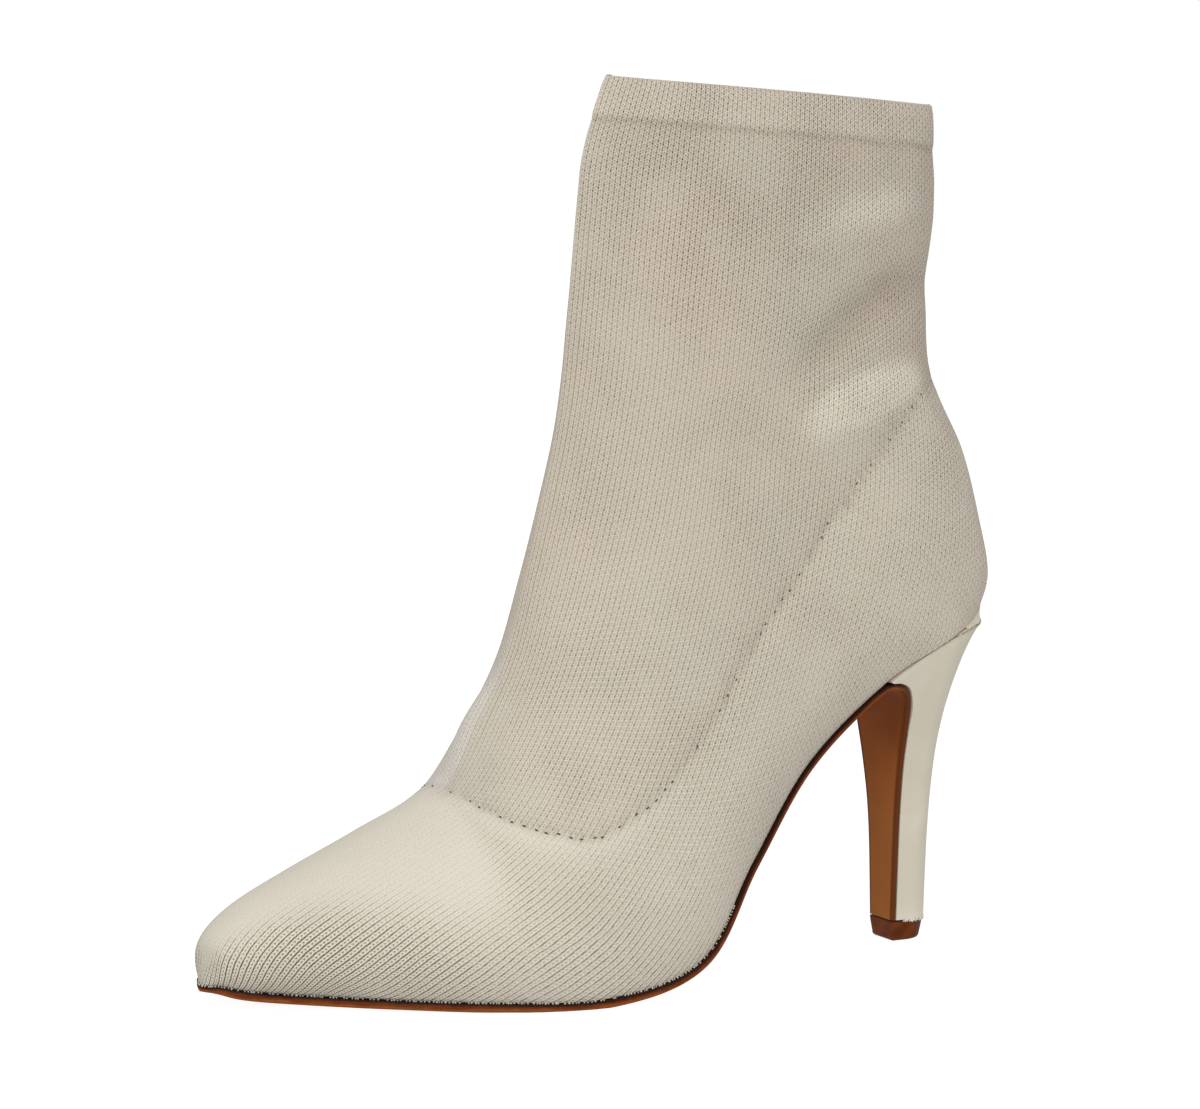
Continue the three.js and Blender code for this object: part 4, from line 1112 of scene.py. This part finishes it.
    # fuzz: single pale fibres and specks
    speck = k.ramp(k.noise(k.uv("knit"), 3.4, 3, 0.7), 0.58, 0.72, 0.0, 0.55)
    colour = k.mix(speck, colour, srgb(236, 229, 214))
    height = k.m("ADD", k.m("MULTIPLY", high, strength), k.m("MULTIPLY", grain, 0.45))
    k.set(Base_Color=colour, Normal=k.bump(height, 0.75, 0.00032),
          Roughness=k.m("MULTIPLY_ADD", grain, 0.12, 0.84))
    k.bsdf.inputs["Specular IOR Level"].default_value = 0.18
    k.bsdf.inputs["Sheen Weight"].default_value = 0.08
    k.bsdf.inputs["Sheen Roughness"].default_value = 0.6
    return k.mat


def lining_paint():
    k = Paint("lining")
    u, w, _ = k.xyz(k.uv("knit"))
    grain = k.noise(k.uv("knit"), 2.2, 4, 0.7)
    weave = k.m("MULTIPLY", k.m("SINE", k.m("MULTIPLY", u, 7.0)), k.m("SINE", k.m("MULTIPLY", w, 7.0)))
    fac = k.m("MULTIPLY_ADD", weave, 0.12, grain, clamp=True)
    k.set(Base_Color=k.mix(fac, srgb(196, 184, 164), srgb(214, 204, 186)), Roughness=k.m("MULTIPLY_ADD", grain, 0.1, 0.86),
          Normal=k.bump(fac, 0.4, 0.0002))
    k.bsdf.inputs["Specular IOR Level"].default_value = 0.2
    return k.mat


def plain_fibre(name, light, deep, rough=0.9):
    k = Paint(name)
    fac = k.ramp(k.noise(k.place(), 900, 3), 0.35, 0.65, 0.0, 1.0)
    k.set(Base_Color=k.mix(fac, light, deep), Roughness=k.m("MULTIPLY_ADD", fac, 0.08, rough),
          Normal=k.bump(fac, 0.4, 0.0001))
    k.bsdf.inputs["Specular IOR Level"].default_value = 0.2
    return k.mat


def sole_paint():
    k = Paint("sole_leather")
    along, across, _ = k.xyz(k.uv("sole"))
    edge, depth, flap = k.attr("edge"), k.attr("depth"), k.attr("flap")
    # the edge: dark along the top, partly stain and partly painted shade under the overhanging knit, which also darkens
    # the top face seen between the knit ends; orange brown with darker streaks, tan where it is worn lower down
    streak = k.noise(k.join(k.m("MULTIPLY", along, 0.13), k.m("MULTIPLY", depth, 2.6)), 1.0, 5, 0.6)
    ragged = k.noise(k.join(k.m("MULTIPLY", along, 1.1), depth), 1.0, 3, 0.6)
    level = k.m("ADD", depth, k.m("MULTIPLY", k.m("SUBTRACT", ragged, 0.5), 0.30))
    fine = k.noise(k.join(k.m("MULTIPLY", along, 0.45), k.m("MULTIPLY", depth, 9.0)), 1.0, 4, 0.6)
    c = k.mix(k.ramp(k.m("MULTIPLY_ADD", k.m("SUBTRACT", streak, 0.5), 0.5, level), 0.10, 0.34, 0.0, 1.0), srgb(44, 16, 4), srgb(104, 46, 12))
    c = k.mix(k.ramp(k.m("ADD", level, k.m("MULTIPLY", k.m("SUBTRACT", streak, 0.5), 1.3)), 0.35, 0.85, 0.0, 0.9), c, srgb(152, 82, 32))
    c = k.mix(k.m("MULTIPLY", k.ramp(fine, 0.52, 0.70, 0.0, 1.0), 0.40), c, srgb(72, 30, 8))
    c = k.mix(k.ramp(level, 0.92, 1.02, 0.0, 0.7), c, srgb(84, 42, 18))
    # faces: stained leather, smooth and darker down the heel's breast, small scuffs on the tread
    cloud = k.noise(k.place(), 42, 4, 0.55)
    face = k.mix(k.ramp(cloud, 0.35, 0.68, 0.0, 1.0), srgb(150, 98, 58), srgb(174, 122, 78))
    breast = k.mix(k.ramp(k.noise(k.place(), 34, 2, 0.5), 0.38, 0.64, 0.0, 1.0), srgb(136, 69, 18), srgb(157, 88, 32))
    # painted shade: the breast darkens a little at its top, under the arch; further down it is mixed paler
    breast = k.mix(k.ramp(along, SOLE_LENGTH - 6.0, SOLE_LENGTH + 6.0, 0.10, 0.0), breast, srgb(112, 56, 18))
    breast = k.mix(k.ramp(along, SOLE_LENGTH + 8.0, SOLE_LENGTH + 44.0, 0.0, 0.7), breast, srgb(164, 102, 48))
    face = k.mix(flap, face, breast)
    c = k.mix(flap, c, srgb(102, 52, 20))
    scuff = k.m("MULTIPLY", k.ramp(k.noise(k.join(k.m("MULTIPLY", along, 0.5), k.m("MULTIPLY", across, 2.4)), 1.0, 5, 0.7), 0.60, 0.74, 0.0, 1.0),
                k.m("SUBTRACT", 1.0, flap))
    face = k.mix(k.m("MULTIPLY", scuff, 0.35), face, srgb(112, 76, 48))
    colour = k.mix(k.ramp(edge, 0.15, 0.60, 0.0, 1.0), face, c)
    height = k.m("ADD", k.m("MULTIPLY", streak, 0.5), k.m("MULTIPLY", k.noise(k.place(), 900, 3), 0.4))
    k.set(Base_Color=colour, Roughness=k.m("MULTIPLY_ADD", streak, 0.22, 0.46), Normal=k.bump(height, 0.22, 0.00018))
    k.bsdf.inputs["Specular IOR Level"].default_value = 0.12
    return k.mat


def cover_paint():
    k = Paint("heel_cover")
    u, w, _ = k.xyz(k.uv("cover"))
    weave = k.m("MULTIPLY", k.m("SINE", k.m("MULTIPLY", u, 14.0)), k.m("SINE", k.m("MULTIPLY", w, 14.0)))
    grain = k.noise(k.uv("cover"), 1.9, 4, 0.65)
    cloud = k.noise(k.place(), 60, 3, 0.55)
    base = k.mix(k.ramp(cloud, 0.36, 0.66, 0.0, 1.0), srgb(216, 208, 189), srgb(223, 215, 197))
    base = k.mix(k.ramp(grain, 0.55, 0.78, 0.0, 0.20), base, srgb(168, 152, 126))
    base = k.mix(k.m("MULTIPLY", k.attr("foot"), 0.35), base, srgb(234, 230, 220))
    # painted shade along the cover's top edge, where it meets the knit under the seat
    base = k.mix(k.m("MULTIPLY", k.attr("top"), 0.25), base, srgb(150, 134, 98))
    height = k.m("MULTIPLY_ADD", weave, 0.25, grain)
    k.set(Base_Color=base, Roughness=k.m("MULTIPLY_ADD", grain, 0.14, 0.74), Normal=k.bump(height, 0.30, 0.00014))
    k.bsdf.inputs["Specular IOR Level"].default_value = 0.25
    k.bsdf.inputs["Sheen Weight"].default_value = 0.10
    return k.mat


def tip_paint():
    k = Paint("tip")
    cloud = k.noise(k.place(), 240, 4, 0.6)
    base = k.mix(k.ramp(cloud, 0.36, 0.64, 0.0, 1.0), srgb(92, 38, 4), srgb(114, 52, 9))
    base = k.mix(k.ramp(k.attr("height"), 0.88, 1.0, 0.0, 0.7), base, srgb(40, 18, 8))
    k.set(Base_Color=base, Roughness=k.m("MULTIPLY_ADD", cloud, 0.2, 0.34), Normal=k.bump(cloud, 0.25, 0.0002))
    k.bsdf.inputs["Specular IOR Level"].default_value = 0.14
    k.bsdf.inputs["Subsurface Weight"].default_value = 0.08
    k.bsdf.inputs["Subsurface Scale"].default_value = 0.002
    return k.mat


def board_paint():
    k = Paint("insole_board")
    u, w, _ = k.xyz(k.uv("board"))
    weave = k.m("MULTIPLY", k.m("SINE", k.m("MULTIPLY", u, 8.0)), k.m("SINE", k.m("MULTIPLY", w, 8.0)))
    grain = k.noise(k.uv("board"), 1.4, 4, 0.65)
    fac = k.m("MULTIPLY_ADD", weave, 0.15, grain, clamp=True)
    k.set(Base_Color=k.mix(fac, srgb(196, 178, 150), srgb(218, 204, 180)), Roughness=k.m("MULTIPLY_ADD", grain, 0.1, 0.8),
          Normal=k.bump(fac, 0.35, 0.0002))
    return k.mat


knit = knit_paint()
materials = {
    "upper_knit": knit, "upper_lining": lining_paint(), "sole_leather": sole_paint(), "heel_cover": cover_paint(),
    "cover_lip": None,
    "heel_tip": tip_paint(), "insole_sock": board_paint(),
    "tack_stitches": plain_fibre("stitch_hole", srgb(104, 94, 72), srgb(78, 70, 50)),
    "tack_fuzz": plain_fibre("fuzz", srgb(226, 218, 200), srgb(206, 196, 176)),
    "knit_ends": plain_fibre("knit_end", srgb(214, 212, 204), srgb(190, 184, 170)),
    "cover_frays": plain_fibre("fray", srgb(236, 232, 224), srgb(208, 198, 180)),
    "seat_frays": plain_fibre("seat_fray", srgb(150, 134, 100), srgb(96, 82, 56)),
}
materials["cover_lip"] = materials["heel_cover"]
for name, material in materials.items():
    ob = bpy.data.objects[name]
    ob.data.materials.clear()
    ob.data.materials.append(material)


# ------------------------------------------------------------------ floor, backdrop and light
def studio():
    me = bpy.data.meshes.new("floor")
    me.from_pydata([(-9, -9, 0), (9, -9, 0), (9, 9, 0), (-9, 9, 0)], [], [(0, 1, 2, 3)])
    floor = bpy.data.objects.new("floor", me)
    bpy.context.scene.collection.objects.link(floor)
    k = Paint("floor")
    cloud = k.noise(k.place(), 3, 3)
    k.set(Base_Color=k.mix(cloud, (0.24, 0.24, 0.24, 1), (0.26, 0.26, 0.26, 1)), Roughness=0.9)
    k.bsdf.inputs["Emission Color"].default_value = (1, 1, 1, 1)
    k.bsdf.inputs["Emission Strength"].default_value = 0.93
    k.bsdf.inputs["Specular IOR Level"].default_value = 0.0
    me.materials.append(k.mat)
    floor.visible_diffuse = floor.visible_glossy = floor.visible_shadow = False

    # a white room far behind everything, seen but giving no light
    bm = bmesh.new()
    bmesh.ops.create_uvsphere(bm, u_segments=48, v_segments=24, radius=12.0)
    me = bpy.data.meshes.new("backdrop")
    bm.to_mesh(me)
    bm.free()
    room = bpy.data.objects.new("backdrop", me)
    bpy.context.scene.collection.objects.link(room)
    mat = bpy.data.materials.new("backdrop")
    mat.use_nodes = True
    tree = mat.node_tree
    tree.nodes.clear()
    out = tree.nodes.new("ShaderNodeOutputMaterial")
    glow = tree.nodes.new("ShaderNodeEmission")
    glow.inputs["Strength"].default_value = 1.0
    tree.links.new(glow.outputs[0], out.inputs[0])
    me.materials.append(mat)
    room.visible_diffuse = room.visible_glossy = room.visible_shadow = False
    room.visible_transmission = room.visible_volume_scatter = False

    world = bpy.data.worlds.new("studio")
    world.use_nodes = True
    back = world.node_tree.nodes["Background"]
    back.inputs[0].default_value = (1.0, 1.0, 1.0, 1)
    back.inputs[1].default_value = 0.55
    bpy.context.scene.world = world

    def area(name, where, at, size, power, colour=(1, 1, 1)):
        data = bpy.data.lights.new(name, "AREA")
        data.shape = "RECTANGLE"
        data.size, data.size_y = size
        data.energy = power
        data.color = colour
        ob = bpy.data.objects.new(name, data)
        bpy.context.scene.collection.objects.link(ob)
        z = np.array(where, float) - np.array(at, float)
        z /= np.linalg.norm(z)
        x = np.cross([0, 0, 1.0], z)
        x /= np.linalg.norm(x)
        y = np.cross(z, x)
        m = Matrix.Identity(4)
        for i in range(3):
            m[i][0], m[i][1], m[i][2], m[i][3] = x[i], y[i], z[i], where[i]
        ob.matrix_world = m
        ob.visible_camera = False

    area("key", (0.95, -1.16, 1.27), (0, -0.02, 0.09), (1.1, 1.0), 15)
    area("fill", (1.6, -0.3, 0.35), (0, 0, 0.10), (1.3, 0.9), 4)
    area("bounce", (0.4, -0.3, -0.87), (0, 0, 0.08), (1.0, 1.0), 1.1)
    area("rim", (0.5, 1.4, 1.1), (0, 0, 0.15), (1.2, 1.2), 2.8)
    bpy.context.scene.view_settings.view_transform = "Standard"
    bpy.context.scene.view_settings.look = "None"


studio()

bpy.context.view_layer.update()
